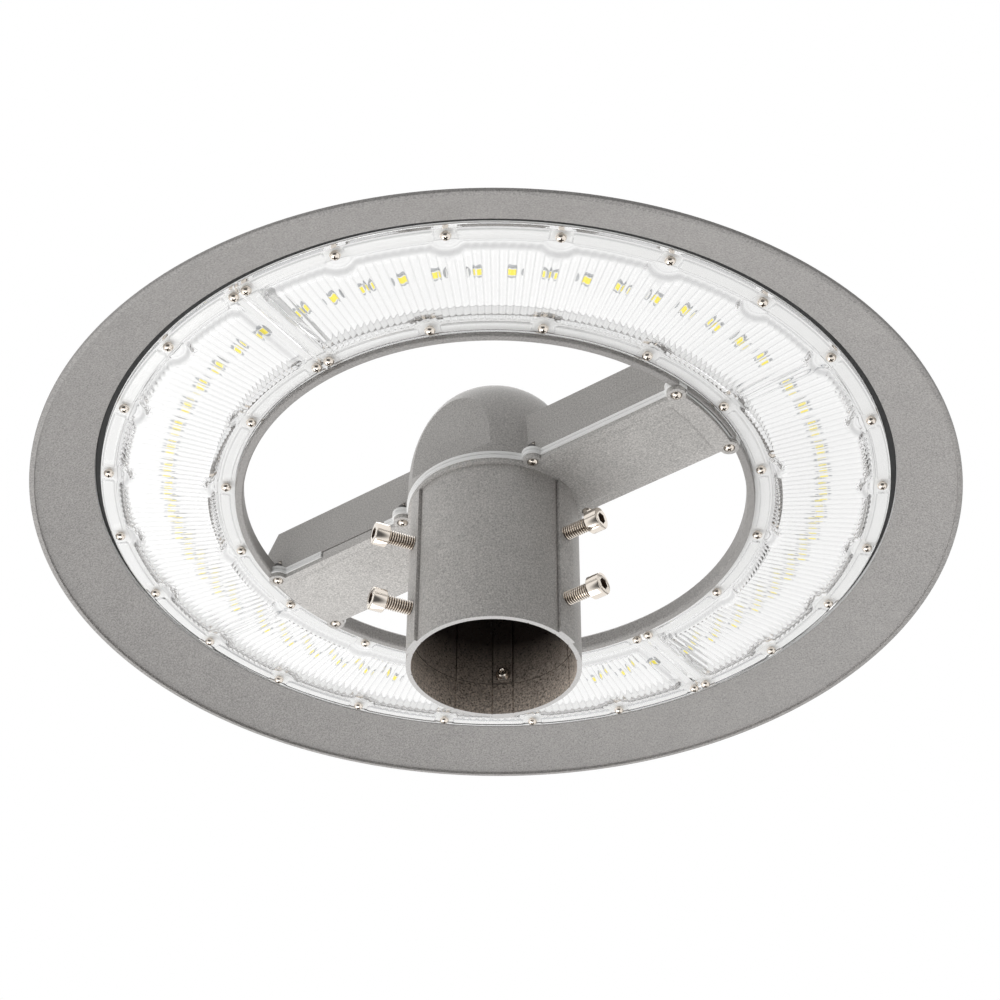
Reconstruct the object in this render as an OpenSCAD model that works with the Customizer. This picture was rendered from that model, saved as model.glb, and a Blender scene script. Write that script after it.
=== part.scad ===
// Ring-shaped park light that stands on top of a lamp post.
// The origin is the centre of the socket mouth, +Z is up, and the arms lie along X.

/* [Pole socket] */
// Length of the socket tube, from its mouth to the cover
socket_len = 105.5; // [100:0.5:130]
// Bore of the turned mouth that takes the top of the post
mouth_bore = 91.2; // [88:0.2:96]
// Depth of the turned mouth
mouth_depth = 20; // [12:0.5:22]
// How far the turned mouth is cut into the wall
mouth_cut = 0.6; // [0.4:0.1:1]
// Wall thickness of the socket tube
socket_wall = 3.3; // [3:0.1:4]
// How far the three pads stand out from the tube
pad_rise = 1.7; // [1:0.1:2.5]
// How far the three pads stand into the bore
pad_step = 0.8; // [0.4:0.1:1.2]
// Angle that one pad covers
pad_angle = 15; // [13:0.5:18]
// Width of the drawn grooves in the bore
groove_w = 0.8; // [0.4:0.1:1.5]
// Depth of the drawn grooves below the mouth's bore
groove_depth = 0.5; // [0.2:0.1:0.8]
// Diameter of the three socket screws
socket_screw_d = 3; // [2.5:0.5:3]
// Length of the socket screws
socket_screw_len = 16; // [10:1:20]
// Head diameter of the socket screws
socket_screw_head_d = 5.6; // [5:0.1:5.8]

/* [Clamp screws] */
// Thread diameter of the clamp screws
clamp_d = 8; // [6:1:8]
// Length of the clamp screws under the head
clamp_len = 25; // [24:1:30]
// Head diameter of the clamp screws
clamp_head_d = 13; // [12:0.5:14]
// Head height of the clamp screws
clamp_head_h = 8; // [7:0.5:9]
// Width across the flats of the hex socket
clamp_hex_w = 6; // [5:0.5:7]
// Thread pitch of the clamp screws
clamp_pitch = 1.25; // [1:0.25:1.5]
// How far the heads stand off the pads
clamp_standoff = 15.5; // [10:0.5:16]
// Height of the lower row of clamp screws above the turned mouth
clamp_rise_low = 5.5; // [5:0.5:8]
// Height between the two rows of clamp screws
clamp_rise = 45; // [30:1:50]

/* [Cover] */
// Thickness of the cover plate
cover_t = 2.7; // [2:0.1:4]
// Half the width of an arm
arm_half_w = 27; // [25:0.5:30]
// How far the cover stands out past the socket's pads
cover_margin = 0.2; // [0.1:0.1:2]
// How far the arms reach past the edge of the ring's hole
arm_overlap = 1.4; // [1:0.1:1.6]
// Radius of the round lugs at the cover screws
lug_r = 5.3; // [4.8:0.1:5.6]
// Height of the raised panel under each arm
panel_t = 0.8; // [0.4:0.1:1.5]
// Distance of the raised panel from the cover's round middle
panel_in_gap = 6.8; // [4:0.2:10]
// Distance of the raised panel from the arm's end
panel_out_gap = 10.8; // [9:0.2:20]
// Distance of the raised panel from the arm's sides
panel_side = 5.5; // [5:0.5:12]
// Thickness of the seal between cover and housing
seal_t = 4.3; // [3:0.1:6]
// Width of the seal
seal_w = 5; // [4:0.5:6]
// How far the seal stands out past the cover
seal_lip = 0.9; // [0.3:0.1:1]

/* [Hub and arms] */
// How far the hub stands out past the cover
hub_over = 0.5; // [0.3:0.1:1]
// Height of the hub above the seal
hub_h = 71.9; // [60:1:80]
// Height of the hub's straight wall
hub_straight = 10.7; // [8:0.1:12]
// Radius of the hub's flat crown
crown_r = 19.5; // [10:0.5:25]
// Depth of the flats on the hub's sides
flat_cut = 8.3; // [6:0.1:9]
// Height of the side flats above the seal
flat_rise = 6.8; // [5:0.1:9]
// Height of the arms above the seal
arm_h = 30; // [27:0.5:34]
// How far the arms' top stands back from the cover's end
arm_top_inset = 2.1; // [1:0.1:4]
// Slope of the arms' ends, sideways for each unit of height
arm_slope = 0.6; // [0.4:0.05:0.8]
// Wall thickness of hub and arms
wall = 3; // [2.5:0.1:3.5]
// Radius of the pillars that take the cover screws
pillar_r = 5; // [4:0.5:5.5]
// Height of the pillars
pillar_h = 12; // [10:0.5:14]
// Depth of the screw holes in the pillars
pillar_hole = 8; // [8:0.5:9]

/* [Canopy ring] */
// Outer diameter of the light
ring_d = 530; // [500:1:560]
// Width of the skirt outside the lenses' land
skirt_w = 36.5; // [30:0.5:45]
// Depth of the ring, from its rim to its crest
ring_h = 28.4; // [28:0.2:34]
// How far the rim hangs below the seal's top
ring_drop = 17.5; // [16:0.5:20]
// How far the lip at the hole hangs below the seal's top
lip_drop = 4.5; // [3.5:0.1:5]
// Width of the lip at the hole
lip_w = 4.4; // [4:0.1:4.5]
// Width of the rim's lower edge
rim_w = 2; // [1.5:0.1:3]
// Height of the land that the lenses seat on above the seal's top
land_rise = 0.8; // [0.5:0.1:1]
// Depth of the recess for the boards above the land
recess_depth = 5.9; // [5.5:0.1:6.5]
// How far the land reaches past the lenses
land_play = 1.7; // [1:0.1:3]
// Half the width of the web at each lens joint
web_half_w = 7.4; // [7:0.1:8]
// Diameter of the lead holes into the recess
lead_hole_d = 3.6; // [3.4:0.1:3.8]

/* [Lenses] */
// Gap between the lenses and the lip at the hole
lens_clear = 0.4; // [0.3:0.1:0.8]
// Width of the flange inside the raised body
flange_in_w = 10.9; // [10.5:0.1:12]
// Width of the raised body
body_w = 55.9; // [50:0.1:60]
// Width of the flange outside the raised body
flange_out_w = 9.8; // [9.5:0.1:11]
// Thickness of the lens flange
flange_t = 3.1; // [2.5:0.1:4]
// Depth of the raised body below the flange
body_h = 3.8; // [3:0.1:6]
// Wall thickness of the raised body
lens_wall = 2.5; // [2:0.1:3]
// Sideways run of the body's inner slope
slope_in = 4.3; // [3:0.1:6]
// Sideways run of the body's outer slope
slope_out = 5.5; // [3:0.1:7]
// Gap between the two lenses
lens_gap = 2; // [1:0.1:3]
// Radius of the notches round the outer screws
notch_out_r = 9.2; // [8:0.1:10]
// Radius of the notches round the inner screws
notch_in_r = 8; // [7:0.1:9]
// Thickness of the lens seals
lens_seal_t = 1.2; // [0.8:0.1:1.5]
// Sideways play of the lens seals in their grooves
lens_seal_play = 0.2; // [0.1:0.1:0.4]

/* [Lens and cover screws] */
// Thread diameter of the small screws
screw_d = 3; // [2.5:0.1:3.2]
// Head diameter of the small screws
screw_head_d = 6; // [5:0.1:6.4]
// Head height of the small screws
screw_head_h = 2.4; // [1.8:0.1:2.8]
// Length of the lens screws under the head
lens_screw_len = 8; // [6:0.5:8]
// Depth of the cross in the screw heads
cross_depth = 1.2; // [0.8:0.1:1.6]
// Width of the cross in the screw heads
cross_w = 0.9; // [0.6:0.1:1.2]
// Distance of the outer lens screws from the lenses' outer edge
outer_inset = 4.8; // [4.4:0.1:5.2]
// Distance of the inner lens screws from the lenses' inner edge
inner_inset = 5.1; // [4.6:0.1:5.4]
// Number of outer screws on each lens, without the two at its ends
outer_count = 11; // [9:2:13]
// Number of inner screws on each lens, without the two at its ends
inner_count = 7; // [5:2:9]
// Distance of the end screws from the lens joint
end_offset = 4.2; // [4:0.1:5]
// Distance of the outer cover screws from the arms' ends
far_inset = 5; // [4.8:0.1:5.6]
// Distance of the inner cover screws from the edge of the cover's round middle
near_inset = 3.8; // [2:0.1:4.2]
// How far the cover screws stand out past the arms' sides
cover_screw_out = 0.1; // [0:0.1:0.5]
// Depth of the seats that the cover screws sit in
cover_seat = 1.2; // [0.6:0.1:1.6]

/* [Light boards] */
// Number of light chips on one board
chips_per_board = 15; // [9:1:18]
// Distance of the circle of chips from the middle of the boards, outwards
chip_shift = 0.5; // [0:0.5:8]
// Side of a chip
chip_w = 3; // [2:0.1:3.5]
// Thickness of a chip
chip_t = 0.8; // [0.5:0.1:1]
// Thickness of a board
board_t = 1.6; // [1:0.1:2]
// Thickness of the heat pad behind a board
heat_pad_t = 0.5; // [0.3:0.1:1]
// Gap between the boards and the sides of their recess
board_play = 3; // [1:0.5:8]
// Angle from the axes to a board's ends
board_margin = 3; // [2.9:0.1:4]
// Angle from the axes to the first chip
chip_margin = 4.2; // [4:0.1:8]

/* [Drivers] */
// Gap between a driver's ears and the hub's cover
driver_in_gap = 7.8; // [5:0.2:12]
// Gap between a driver's ears and the arm's end wall
driver_out_gap = 10.4; // [8:0.2:16]
// Gap between a driver and the arm's side walls
driver_side = 4; // [2:0.5:8]
// Height of a driver's case
driver_h = 20; // [16:0.5:21]
// Length of the ears at a driver's ends
ear_len = 9; // [8:0.5:10]
// Thickness of the ears
ear_t = 2; // [1.5:0.5:3]
// Height of the posts that the drivers hang from
post_h = 4.5; // [4:0.5:6]
// Diameter of the posts
post_d = 9; // [8:0.5:10]
// Thread diameter of the driver screws
driver_screw_d = 4; // [3:0.5:4]
// Length of the driver screws under the head
driver_screw_len = 7; // [6:0.5:7.5]

/* [Wiring] */
// Diameter of one wire
wire_d = 1.4; // [1:0.1:1.5]
// Height of the wires above the seal's top
wire_rise = 3.9; // [3.8:0.1:4]
// Sideways place of the wires to the boards
lead_y = 8; // [6:0.5:10]
// Length of the terminal block
terminal_len = 30; // [24:1:34]
// Width of the terminal block
terminal_w = 14; // [12:1:16]
// Height of the terminal block
terminal_h = 16; // [14:1:20]
// Length of the surge protector
surge_len = 36; // [30:1:40]
// Width of the surge protector
surge_w = 17; // [14:1:18]
// Height of the surge protector
surge_h = 24; // [18:1:28]
// Distance from the axis to the faces of block and protector
block_x = 17; // [16:0.5:20]

/* [Gland and vent] */
// Thread diameter of the cable gland
gland_d = 20; // [16:1:20]
// Width across the flats of gland and nut
gland_af = 24; // [22:1:25]
// Depth of the gland's hexagon
gland_hex_h = 7; // [5:0.5:9]
// Depth of the gland's cap below its hexagon
gland_cap_h = 12; // [8:0.5:14]
// Bore of the gland for the supply cable
gland_bore = 10; // [8:0.5:12]
// Thickness of the gland's nut
gland_nut_h = 4.5; // [4:0.5:6]
// Thickness of the gland's washer
gland_washer_t = 1; // [0.8:0.1:1.5]
// Diameter of the vent's cap
vent_d = 13; // [12:0.5:14]
// Thread diameter of the vent
vent_thread_d = 8; // [6:0.5:9]
// Depth of the vent's cap
vent_h = 4; // [3:0.5:6]
// Distance of the vent from the socket's inner pads
vent_inset = 19.2; // [12:0.2:20]
// Distance of the earth screw from the seal
earth_inset = 13.2; // [11:0.2:16]
// Diameter of the earth screw
earth_d = 4; // [3:0.5:5]
// Thickness of the earth lug
earth_lug_t = 1; // [0.6:0.1:1.5]

/* [Hidden] */
$fn = 96;

casting_grey = [0.60, 0.59, 0.58];
seal_grey = [0.84, 0.85, 0.86];
nickel = [0.78, 0.74, 0.69];
clear_white = [0.93, 0.94, 0.95];
over = 1;
fit = 0.1;
edge = 0.6;
rim_edge = 0.8;
small_round = 1.2;
hex_corner = 2 / sqrt(3);

z_cover = socket_len;
z_seal = z_cover + cover_t;
z_rim = z_seal + seal_t;
z_arm = z_rim + arm_h;
z_land = z_rim + land_rise;
z_recess = z_land + recess_depth;
z_ring = z_rim - ring_drop;
z_lip = z_rim - lip_drop;
z_flange = z_land - flange_t;
z_body = z_flange - body_h;
z_wire = z_rim + wire_rise;
z_tall = z_rim + hub_h + over;

socket_bore = mouth_bore - 2 * mouth_cut;
socket_od = socket_bore + 2 * socket_wall;
pad_bore = socket_bore - 2 * pad_step;
socket_r = socket_od / 2;
pad_r = socket_r + pad_rise;
socket_screw_r = (pad_r + pad_bore / 2) / 2 - edge;
clamp_low = mouth_depth + clamp_rise_low;

ring_r = ring_d / 2;
land_out_r = ring_r - skirt_w;
lens_out_r = land_out_r - land_play;
foot_out_r = lens_out_r - flange_out_w;
foot_in_r = foot_out_r - body_w;
lens_in_r = foot_in_r - flange_in_w;
hole_r = lens_in_r - lens_clear - lip_w;
recess_in_r = foot_in_r - fit;
recess_out_r = foot_out_r;
board_in_r = recess_in_r + board_play;
board_out_r = recess_out_r - board_play;
chip_circle_r = (board_in_r + board_out_r) / 2 + chip_shift;
outer_circle_r = lens_out_r - outer_inset;
inner_circle_r = lens_in_r + inner_inset;

hub_cover_r = pad_r + cover_margin;
hub_r = hub_cover_r + hub_over;
flat_y = hub_r - flat_cut;
arm_end_r = hole_r + arm_overlap;
arm_top_x = arm_end_r - arm_top_inset;
panel_in_r = hub_cover_r + panel_in_gap;
panel_out_r = arm_end_r - panel_out_gap;
panel_half_w = arm_half_w - panel_side;
cover_screw_far_x = arm_end_r - far_inset;
cover_screw_near_x = hub_cover_r - near_inset;
cover_screw_y = arm_half_w + cover_screw_out;
vent_y = pad_bore / 2 - vent_inset;
earth_y = hub_cover_r - seal_w - earth_inset;

driver_in_x = hub_cover_r + driver_in_gap;
driver_out_x = hole_r - wall - driver_out_gap;
driver_x = (driver_in_x + driver_out_x) / 2;
driver_len = driver_out_x - driver_in_x - 2 * ear_len;
driver_w = 2 * (arm_half_w - wall - driver_side);
wide = ring_d;
pad_azimuths = [0, 120, 240];
groove_azimuths = [27, 60, 155, 208, 330];
// Top of the ring from its hole to its rim, as shares of its width and depth
ring_top_shares = [[0, 0.75], [0.012, 0.81], [0.03, 0.85], [0.09, 0.915], [0.205, 0.98],
    [0.37, 1], [0.52, 0.98], [0.625, 0.91], [0.70, 0.81], [0.82, 0.525], [0.92, 0.285],
    [0.975, 0.15], [1, 0.075]];
// Profile of a small screw's head, as shares of its diameter and height
head_shares = [[0, 0], [0.28, 0], [0.42, 0.18], [0.5, 0.55], [0.5, 1], [0, 1]];
// Length of the cross in a screw head, as a share of its diameter
cross_share = 0.56;
// Height of the larger screws' heads, as a share of their thread's diameter
head_h_share = 0.65;
// Lower diameter of the gland's cap, as a share of its upper one
cap_share = 0.75;
// How far the lens's hollow stands back from its feet, as a share of the lens's wall
foot_share = 0.8;
outer_step = 180 / (outer_count + 1);
inner_step = 22.1;
outer_end = acos(end_offset / outer_circle_r);
inner_end = acos(end_offset / inner_circle_r);
outer_angles = concat([-outer_end, outer_end],
    [for (i = [1:outer_count]) -90 + i * outer_step]);
inner_angles = concat([-inner_end, inner_end],
    [for (i = [0:inner_count - 1]) (i - (inner_count - 1) / 2) * inner_step]);
chip_step = (90 - 2 * chip_margin) / (chips_per_board - 1);
cover_screw_places = [for (sx = [-1, 1], sy = [-1, 1], x = [cover_screw_near_x,
    cover_screw_far_x]) [sx * x, sy * cover_screw_y]];
driver_top = z_arm - wall - post_h;
ear_x = driver_len / 2 + ear_len / 2;

// Sector of a ring between two radii and two heights
module sector(r_in, r_out, z_low, z_high, angle) {
    rotate_extrude(angle = angle)
        translate([r_in, z_low]) square([r_out - r_in, z_high - z_low]);
}

// Ring with a rectangular section
module band(r_in, r_out, z_low, z_high) {
    rotate_extrude() translate([r_in, z_low]) square([r_out - r_in, z_high - z_low]);
}

// Everything on the +X side of a plane
module right_of(x) {
    translate([x, -wide / 2, -wide / 2]) cube([wide, wide, wide]);
}

// Round bar along Z between two heights
module bar(d, z_low, z_high) {
    translate([0, 0, z_low]) cylinder(d = d, h = z_high - z_low);
}

// Outline that cover, seal and pocket share, grown by a margin
module bridge_outline(grow) {
    circle(r = hub_cover_r + grow);
    intersection() {
        square([2 * (arm_end_r + grow), 2 * (arm_half_w + grow)], center = true);
        circle(r = arm_end_r + grow);
    }
    for (p = cover_screw_places) translate(p) circle(r = lug_r + grow);
}

// Outline of one arm's raised panel, in the plane of the cover
module panel_outline() {
    intersection() {
        difference() {
            circle(r = panel_out_r);
            circle(r = panel_in_r);
        }
        translate([0, -panel_half_w]) square([panel_out_r, 2 * panel_half_w]);
    }
}

// Profile of the ring's top face, from its hole to its rim
ring_top = [for (s = ring_top_shares)
    [hole_r + s[0] * (ring_r - hole_r), z_ring + s[1] * ring_h]];

// Profile of the hub, shrunk by a wall
function hub_profile(shrink) = concat([[0, z_rim - (shrink > 0 ? over : 0)],
    [hub_r - shrink, z_rim - (shrink > 0 ? over : 0)]],
    [for (a = [0:5:90]) [crown_r + (hub_r - crown_r - shrink) * cos(a),
        z_rim + hub_straight + (hub_h - hub_straight - shrink) * sin(a)]],
    [[0, z_rim + hub_h - shrink]]);

// Screw with a round cross-slotted head that hangs below a seat
module pan_screw(z_seat, len) {
    difference() {
        union() {
            bar(screw_d, z_seat - over / 2, z_seat + len);
            translate([0, 0, z_seat - screw_head_h]) rotate_extrude()
                polygon([for (s = head_shares) [s[0] * screw_head_d, s[1] * screw_head_h]]);
        }
        for (a = [0, 90]) rotate(a)
            translate([-screw_head_d * cross_share / 2, -cross_w / 2,
                z_seat - screw_head_h - over])
                cube([screw_head_d * cross_share, cross_w, over + cross_depth]);
    }
}

// Places one child at every lens screw of one circle, on both lenses
module at_lens_screws(angles, r) {
    for (side = [0, 180], a = angles) rotate(side + a) translate([r, 0]) children();
}

// Flat seal shape of one lens, grown by its play
module lens_seal_shape(play, z_high) {
    intersection() {
        union() {
            band(recess_out_r + edge - play, lens_out_r - edge + play, z_land, z_high);
            band(lens_in_r + edge - play, recess_in_r - edge + play, z_land, z_high);
            translate([0, -lens_out_r, z_land])
                cube([web_half_w - edge + play, 2 * lens_out_r, z_high - z_land]);
        }
        difference() {
            band(lens_in_r + edge - play, lens_out_r - edge + play, z_land, z_high);
            mirror([1, 0, 0]) right_of(-lens_gap / 2 + play);
        }
    }
}

module canopy_ring() {
    color(casting_grey) difference() {
        union() {
            rotate_extrude() polygon(concat([[hole_r, z_land]], ring_top,
                [[ring_r, z_ring + rim_edge], [ring_r - rim_edge, z_ring],
                [ring_r - rim_edge - rim_w, z_ring],
                [ring_r - rim_edge - rim_w - small_round, z_ring + rim_edge],
                [land_out_r, z_land]]));
            rotate_extrude() polygon([[hole_r, z_land + small_round],
                [hole_r, z_lip + small_round], [hole_r + small_round, z_lip],
                [hole_r + lip_w, z_lip], [hole_r + lip_w, z_land + small_round]]);
        }
        difference() {
            band(recess_in_r, recess_out_r, z_land - over, z_recess);
            translate([-web_half_w, -wide / 2, z_land - 2 * over])
                cube([2 * web_half_w, wide, recess_depth + 3 * over]);
        }
        for (side = [0, 1]) mirror([side, 0, 0])
            lens_seal_shape(lens_seal_play, z_land + lens_seal_t);
        translate([0, 0, z_lip - over]) linear_extrude(z_rim - z_lip + over)
            bridge_outline(seal_lip + edge);
        at_lens_screws(outer_angles, outer_circle_r)
            bar(screw_d, z_land - over, z_flange + lens_screw_len);
        at_lens_screws(inner_angles, inner_circle_r)
            bar(screw_d, z_land - over, z_flange + lens_screw_len);
        for (p = cover_screw_places) translate(p)
            bar(screw_d + fit, z_rim - over, z_rim + pillar_hole);
        for (side = [0, 180]) rotate(side) translate([hole_r - wall, lead_y, z_wire + edge])
            rotate([0, 90, 0]) cylinder(d = lead_hole_d, h = recess_in_r + over - hole_r + wall);
    }
}

// Solid outside of the arms, as one bar with sloping ends
module arms_solid() {
    reach = arm_top_x + arm_slope * arm_h;
    translate([0, arm_half_w, 0]) rotate([90, 0, 0]) linear_extrude(2 * arm_half_w)
        polygon([[-reach, z_rim], [-arm_top_x, z_arm], [arm_top_x, z_arm], [reach, z_rim]]);
}

// Solid outside of the hub with its two side flats
module hub_solid(shrink) {
    difference() {
        rotate_extrude() polygon(hub_profile(shrink));
        for (side = [0, 180]) rotate(side) translate([wide / 2, 0, 0])
            rotate([90, 0, -90]) linear_extrude(wide)
                polygon([[flat_y - shrink, z_tall], [flat_y - shrink, z_rim + flat_rise],
                    [hub_r - shrink, z_rim - shrink / 2], [wide, z_rim - shrink / 2],
                    [wide, z_tall]]);
    }
}

// Hollow of the hub and the arms
module bridge_hollow() {
    end_x = hole_r - wall;
    nose_z = z_rim + arm_h / 2;
    slope_x = arm_top_x + arm_slope * (z_arm - nose_z) - wall - edge;
    hub_solid(wall);
    intersection() {
        translate([0, arm_half_w - wall, 0]) rotate([90, 0, 0])
            linear_extrude(2 * (arm_half_w - wall)) for (side = [0, 1]) mirror([side, 0])
                polygon([[0, z_rim - over], [end_x, z_rim - over], [end_x, nose_z],
                    [slope_x, nose_z], [slope_x - arm_slope * (z_arm - wall - nose_z),
                    z_arm - wall], [0, z_arm - wall]]);
        union() {
            bar(2 * end_x, z_rim - 2 * over, z_tall);
            bar(2 * ring_r, nose_z, z_tall);
        }
    }
}

module bridge_housing() {
    color(casting_grey) difference() {
        union() {
            difference() {
                union() {
                    arms_solid();
                    hub_solid(0);
                }
                difference() {
                    bridge_hollow();
                    for (p = cover_screw_places) translate(p)
                        bar(2 * pillar_r, z_rim - 2 * over, z_rim + pillar_h);
                }
            }
            for (side = [-1, 1], end = [-1, 1])
                translate([side * (driver_x + end * ear_x), 0, 0])
                    bar(post_d, driver_top, z_arm - wall / 2);
        }
        rotate_extrude() polygon(concat([[hole_r, z_ring]], ring_top, [[ring_r, z_ring]]));
        for (p = cover_screw_places) translate(p)
            bar(screw_d + fit, z_rim - over, z_rim + pillar_hole);
        for (side = [-1, 1], end = [-1, 1])
            translate([side * (driver_x + end * ear_x), 0, 0])
                bar(driver_screw_d, driver_top - over, driver_top - ear_t + driver_screw_len);
        for (side = [0, 180]) rotate(side)
            translate([hole_r - 2 * wall, lead_y, z_wire + edge])
                rotate([0, 90, 0]) cylinder(d = lead_hole_d, h = 2 * wall + lip_w);
    }
}

module bridge_cover() {
    color(casting_grey) difference() {
        union() {
            translate([0, 0, z_cover]) linear_extrude(cover_t) bridge_outline(0);
            for (side = [0, 180]) rotate(side) translate([0, 0, z_cover - panel_t])
                linear_extrude(panel_t) panel_outline();
            translate([0, -earth_y, 0]) bar(post_d, z_seal, z_seal + post_h);
        }
        for (p = cover_screw_places) translate(p) {
            bar(screw_d + fit, z_cover - over, z_seal + over);
            bar(screw_head_d + edge, z_cover - over, z_cover + cover_seat);
        }
        for (a = pad_azimuths) rotate(a) translate([socket_screw_r, 0, 0]) {
            bar(socket_screw_d, z_cover - over, z_seal + over);
            translate([0, 0, z_seal - (socket_screw_head_d - socket_screw_d) / 2])
                cylinder(d1 = socket_screw_d, d2 = socket_screw_head_d,
                    h = (socket_screw_head_d - socket_screw_d) / 2);
        }
        bar(gland_d, z_cover - over, z_seal + over);
        translate([0, vent_y, 0]) bar(vent_thread_d, z_cover - over, z_seal + over);
        translate([0, -earth_y, 0]) bar(earth_d, z_cover - over, z_seal + post_h + over);
    }
}

module bridge_seal() {
    color(seal_grey) difference() {
        translate([0, 0, z_seal]) linear_extrude(seal_t) difference() {
            intersection() {
                bridge_outline(seal_lip);
                circle(r = lens_in_r - 3 * fit);
            }
            circle(r = hub_cover_r - seal_w);
            intersection() {
                square([2 * arm_end_r, 2 * (arm_half_w - seal_w)], center = true);
                circle(r = arm_end_r - seal_w);
            }
        }
        for (p = cover_screw_places) translate(p)
            bar(screw_d + fit, z_seal - over, z_rim + over);
    }
}

module pole_socket() {
    color(casting_grey) difference() {
        union() {
            bar(socket_od, 0, z_cover);
            for (a = pad_azimuths) rotate(a - pad_angle / 2)
                sector(socket_r - fit, pad_r, 0, z_cover, pad_angle);
        }
        difference() {
            bar(socket_bore, -over, z_cover + over);
            for (a = pad_azimuths) rotate(a - pad_angle / 2)
                sector(pad_bore / 2, socket_r, mouth_depth - over, z_cover + over, pad_angle);
        }
        bar(mouth_bore, -over, mouth_depth);
        for (a = concat(groove_azimuths, [for (p = pad_azimuths, s = [-1, 1])
            p + s * pad_angle / 2])) rotate(a)
            translate([0, -groove_w / 2, -over])
                cube([mouth_bore / 2 + groove_depth, groove_w, z_cover + 2 * over]);
        for (a = pad_azimuths, z = [clamp_low, clamp_low + clamp_rise]) rotate(a)
            translate([pad_bore / 4, 0, z]) rotate([0, 90, 0])
                cylinder(d = clamp_d + 2 * fit, h = pad_r);
        for (a = pad_azimuths) rotate(a) translate([socket_screw_r, 0, 0])
            bar(socket_screw_d, z_seal - socket_screw_len, z_cover + over);
    }
}

module socket_screws() {
    cone_h = (socket_screw_head_d - socket_screw_d) / 2;
    color(nickel) for (a = pad_azimuths) rotate(a)
        translate([socket_screw_r, 0, 0]) {
            bar(socket_screw_d, z_seal - socket_screw_len, z_seal - cone_h);
            translate([0, 0, z_seal - cone_h])
                cylinder(d1 = socket_screw_d, d2 = socket_screw_head_d, h = cone_h);
        }
}

// Clamp screw along a radius, with its thread drawn as rings
module clamp_screw(azimuth, z) {
    root_r = clamp_d / 2 - clamp_pitch * 0.5;
    turns = floor((clamp_len - 2 * clamp_pitch) / clamp_pitch);
    rotate(azimuth) translate([pad_r + clamp_standoff, 0, z]) rotate([0, 90, 0])
        color(nickel) difference() {
            rotate_extrude() polygon(concat([[0, clamp_head_h],
                [clamp_head_d / 2 - 2 * edge, clamp_head_h],
                [clamp_head_d / 2, clamp_head_h - 2 * edge], [clamp_head_d / 2, edge / 2],
                [clamp_head_d / 2 - edge / 2, 0], [root_r, 0], [root_r, -clamp_pitch]],
                [for (i = [0:turns - 1], half = [0.5, 1])
                    [half == 1 ? root_r : clamp_d / 2, -clamp_pitch * (1 + i + half)]],
                [[root_r, -clamp_len + edge], [root_r - edge, -clamp_len], [0, -clamp_len]]));
            translate([0, 0, clamp_head_h / 2]) rotate(90)
                cylinder(d = clamp_hex_w * hex_corner, h = clamp_head_h, $fn = 6);
            translate([0, 0, -clamp_len - over]) cylinder(d = root_r, h = over + 2 * edge);
        }
}

module lens() {
    color(clear_white) difference() {
        union() {
            intersection() {
                band(lens_in_r, lens_out_r, z_flange, z_land);
                right_of(lens_gap / 2);
            }
            lens_body(0);
        }
        lens_body(lens_wall);
        for (a = outer_angles) rotate(a) translate([outer_circle_r, 0])
            bar(screw_d + fit, z_flange - over, z_land + over);
        for (a = inner_angles) rotate(a) translate([inner_circle_r, 0])
            bar(screw_d + fit, z_flange - over, z_land + over);
    }
}

// Raised body of a lens, or its hollow when it is shrunk by the wall
module lens_body(shrink) {
    low = z_body + shrink;
    high = (shrink > 0) ? z_land + over : z_flange + over / 2;
    drop = shrink * foot_share;
    end_x = web_half_w + drop;
    difference() {
        intersection() {
            rotate_extrude() polygon([[foot_in_r + drop, high], [foot_in_r + drop, z_flange],
                [foot_in_r + slope_in + drop, low], [foot_out_r - slope_out - drop, low],
                [foot_out_r - drop, z_flange], [foot_out_r - drop, high]]);
            translate([0, wide / 2, 0]) rotate([90, 0, 0]) linear_extrude(wide)
                polygon([[end_x, high + over], [end_x, z_flange], [end_x + slope_in, low],
                    [end_x + slope_in, low - over], [wide, low - over], [wide, high + over]]);
        }
        for (a = outer_angles) rotate(a) translate([outer_circle_r, 0])
            bar(2 * (notch_out_r + shrink), z_body - over, high + over);
        for (a = inner_angles) rotate(a) translate([inner_circle_r, 0])
            bar(2 * (notch_in_r + shrink), z_body - over, high + over);
    }
}

module lens_seal() {
    color(seal_grey) difference() {
        lens_seal_shape(0, z_land + lens_seal_t);
        for (a = outer_angles) rotate(a) translate([outer_circle_r, 0])
            bar(screw_d + fit, z_land - over, z_land + lens_seal_t + over);
        for (a = inner_angles) rotate(a) translate([inner_circle_r, 0])
            bar(screw_d + fit, z_land - over, z_land + lens_seal_t + over);
    }
}

module cover_screws() {
    color(nickel) for (p = cover_screw_places) translate(p)
        pan_screw(z_cover + cover_seat, cover_t - cover_seat + seal_t + pillar_hole - edge);
}

// Flat sector under the recess's top, for boards and heat pads
module board_sector(quarter, z_low, z_high) {
    rotate(90 * quarter + board_margin)
        sector(board_in_r, board_out_r, z_low, z_high, 90 - 2 * board_margin);
}

module light_board(quarter) {
    color("white")
        board_sector(quarter, z_recess - heat_pad_t - board_t, z_recess - heat_pad_t);
}

module heat_pads() {
    color("lightgrey") for (q = [0:3]) board_sector(q, z_recess - heat_pad_t, z_recess);
}

module light_chips() {
    color("gold") for (q = [0:3], i = [0:chips_per_board - 1])
        rotate(90 * q + chip_margin + i * chip_step)
            translate([chip_circle_r - chip_w / 2, -chip_w / 2,
                z_recess - heat_pad_t - board_t - chip_t]) cube([chip_w, chip_w, chip_t]);
}

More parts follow.
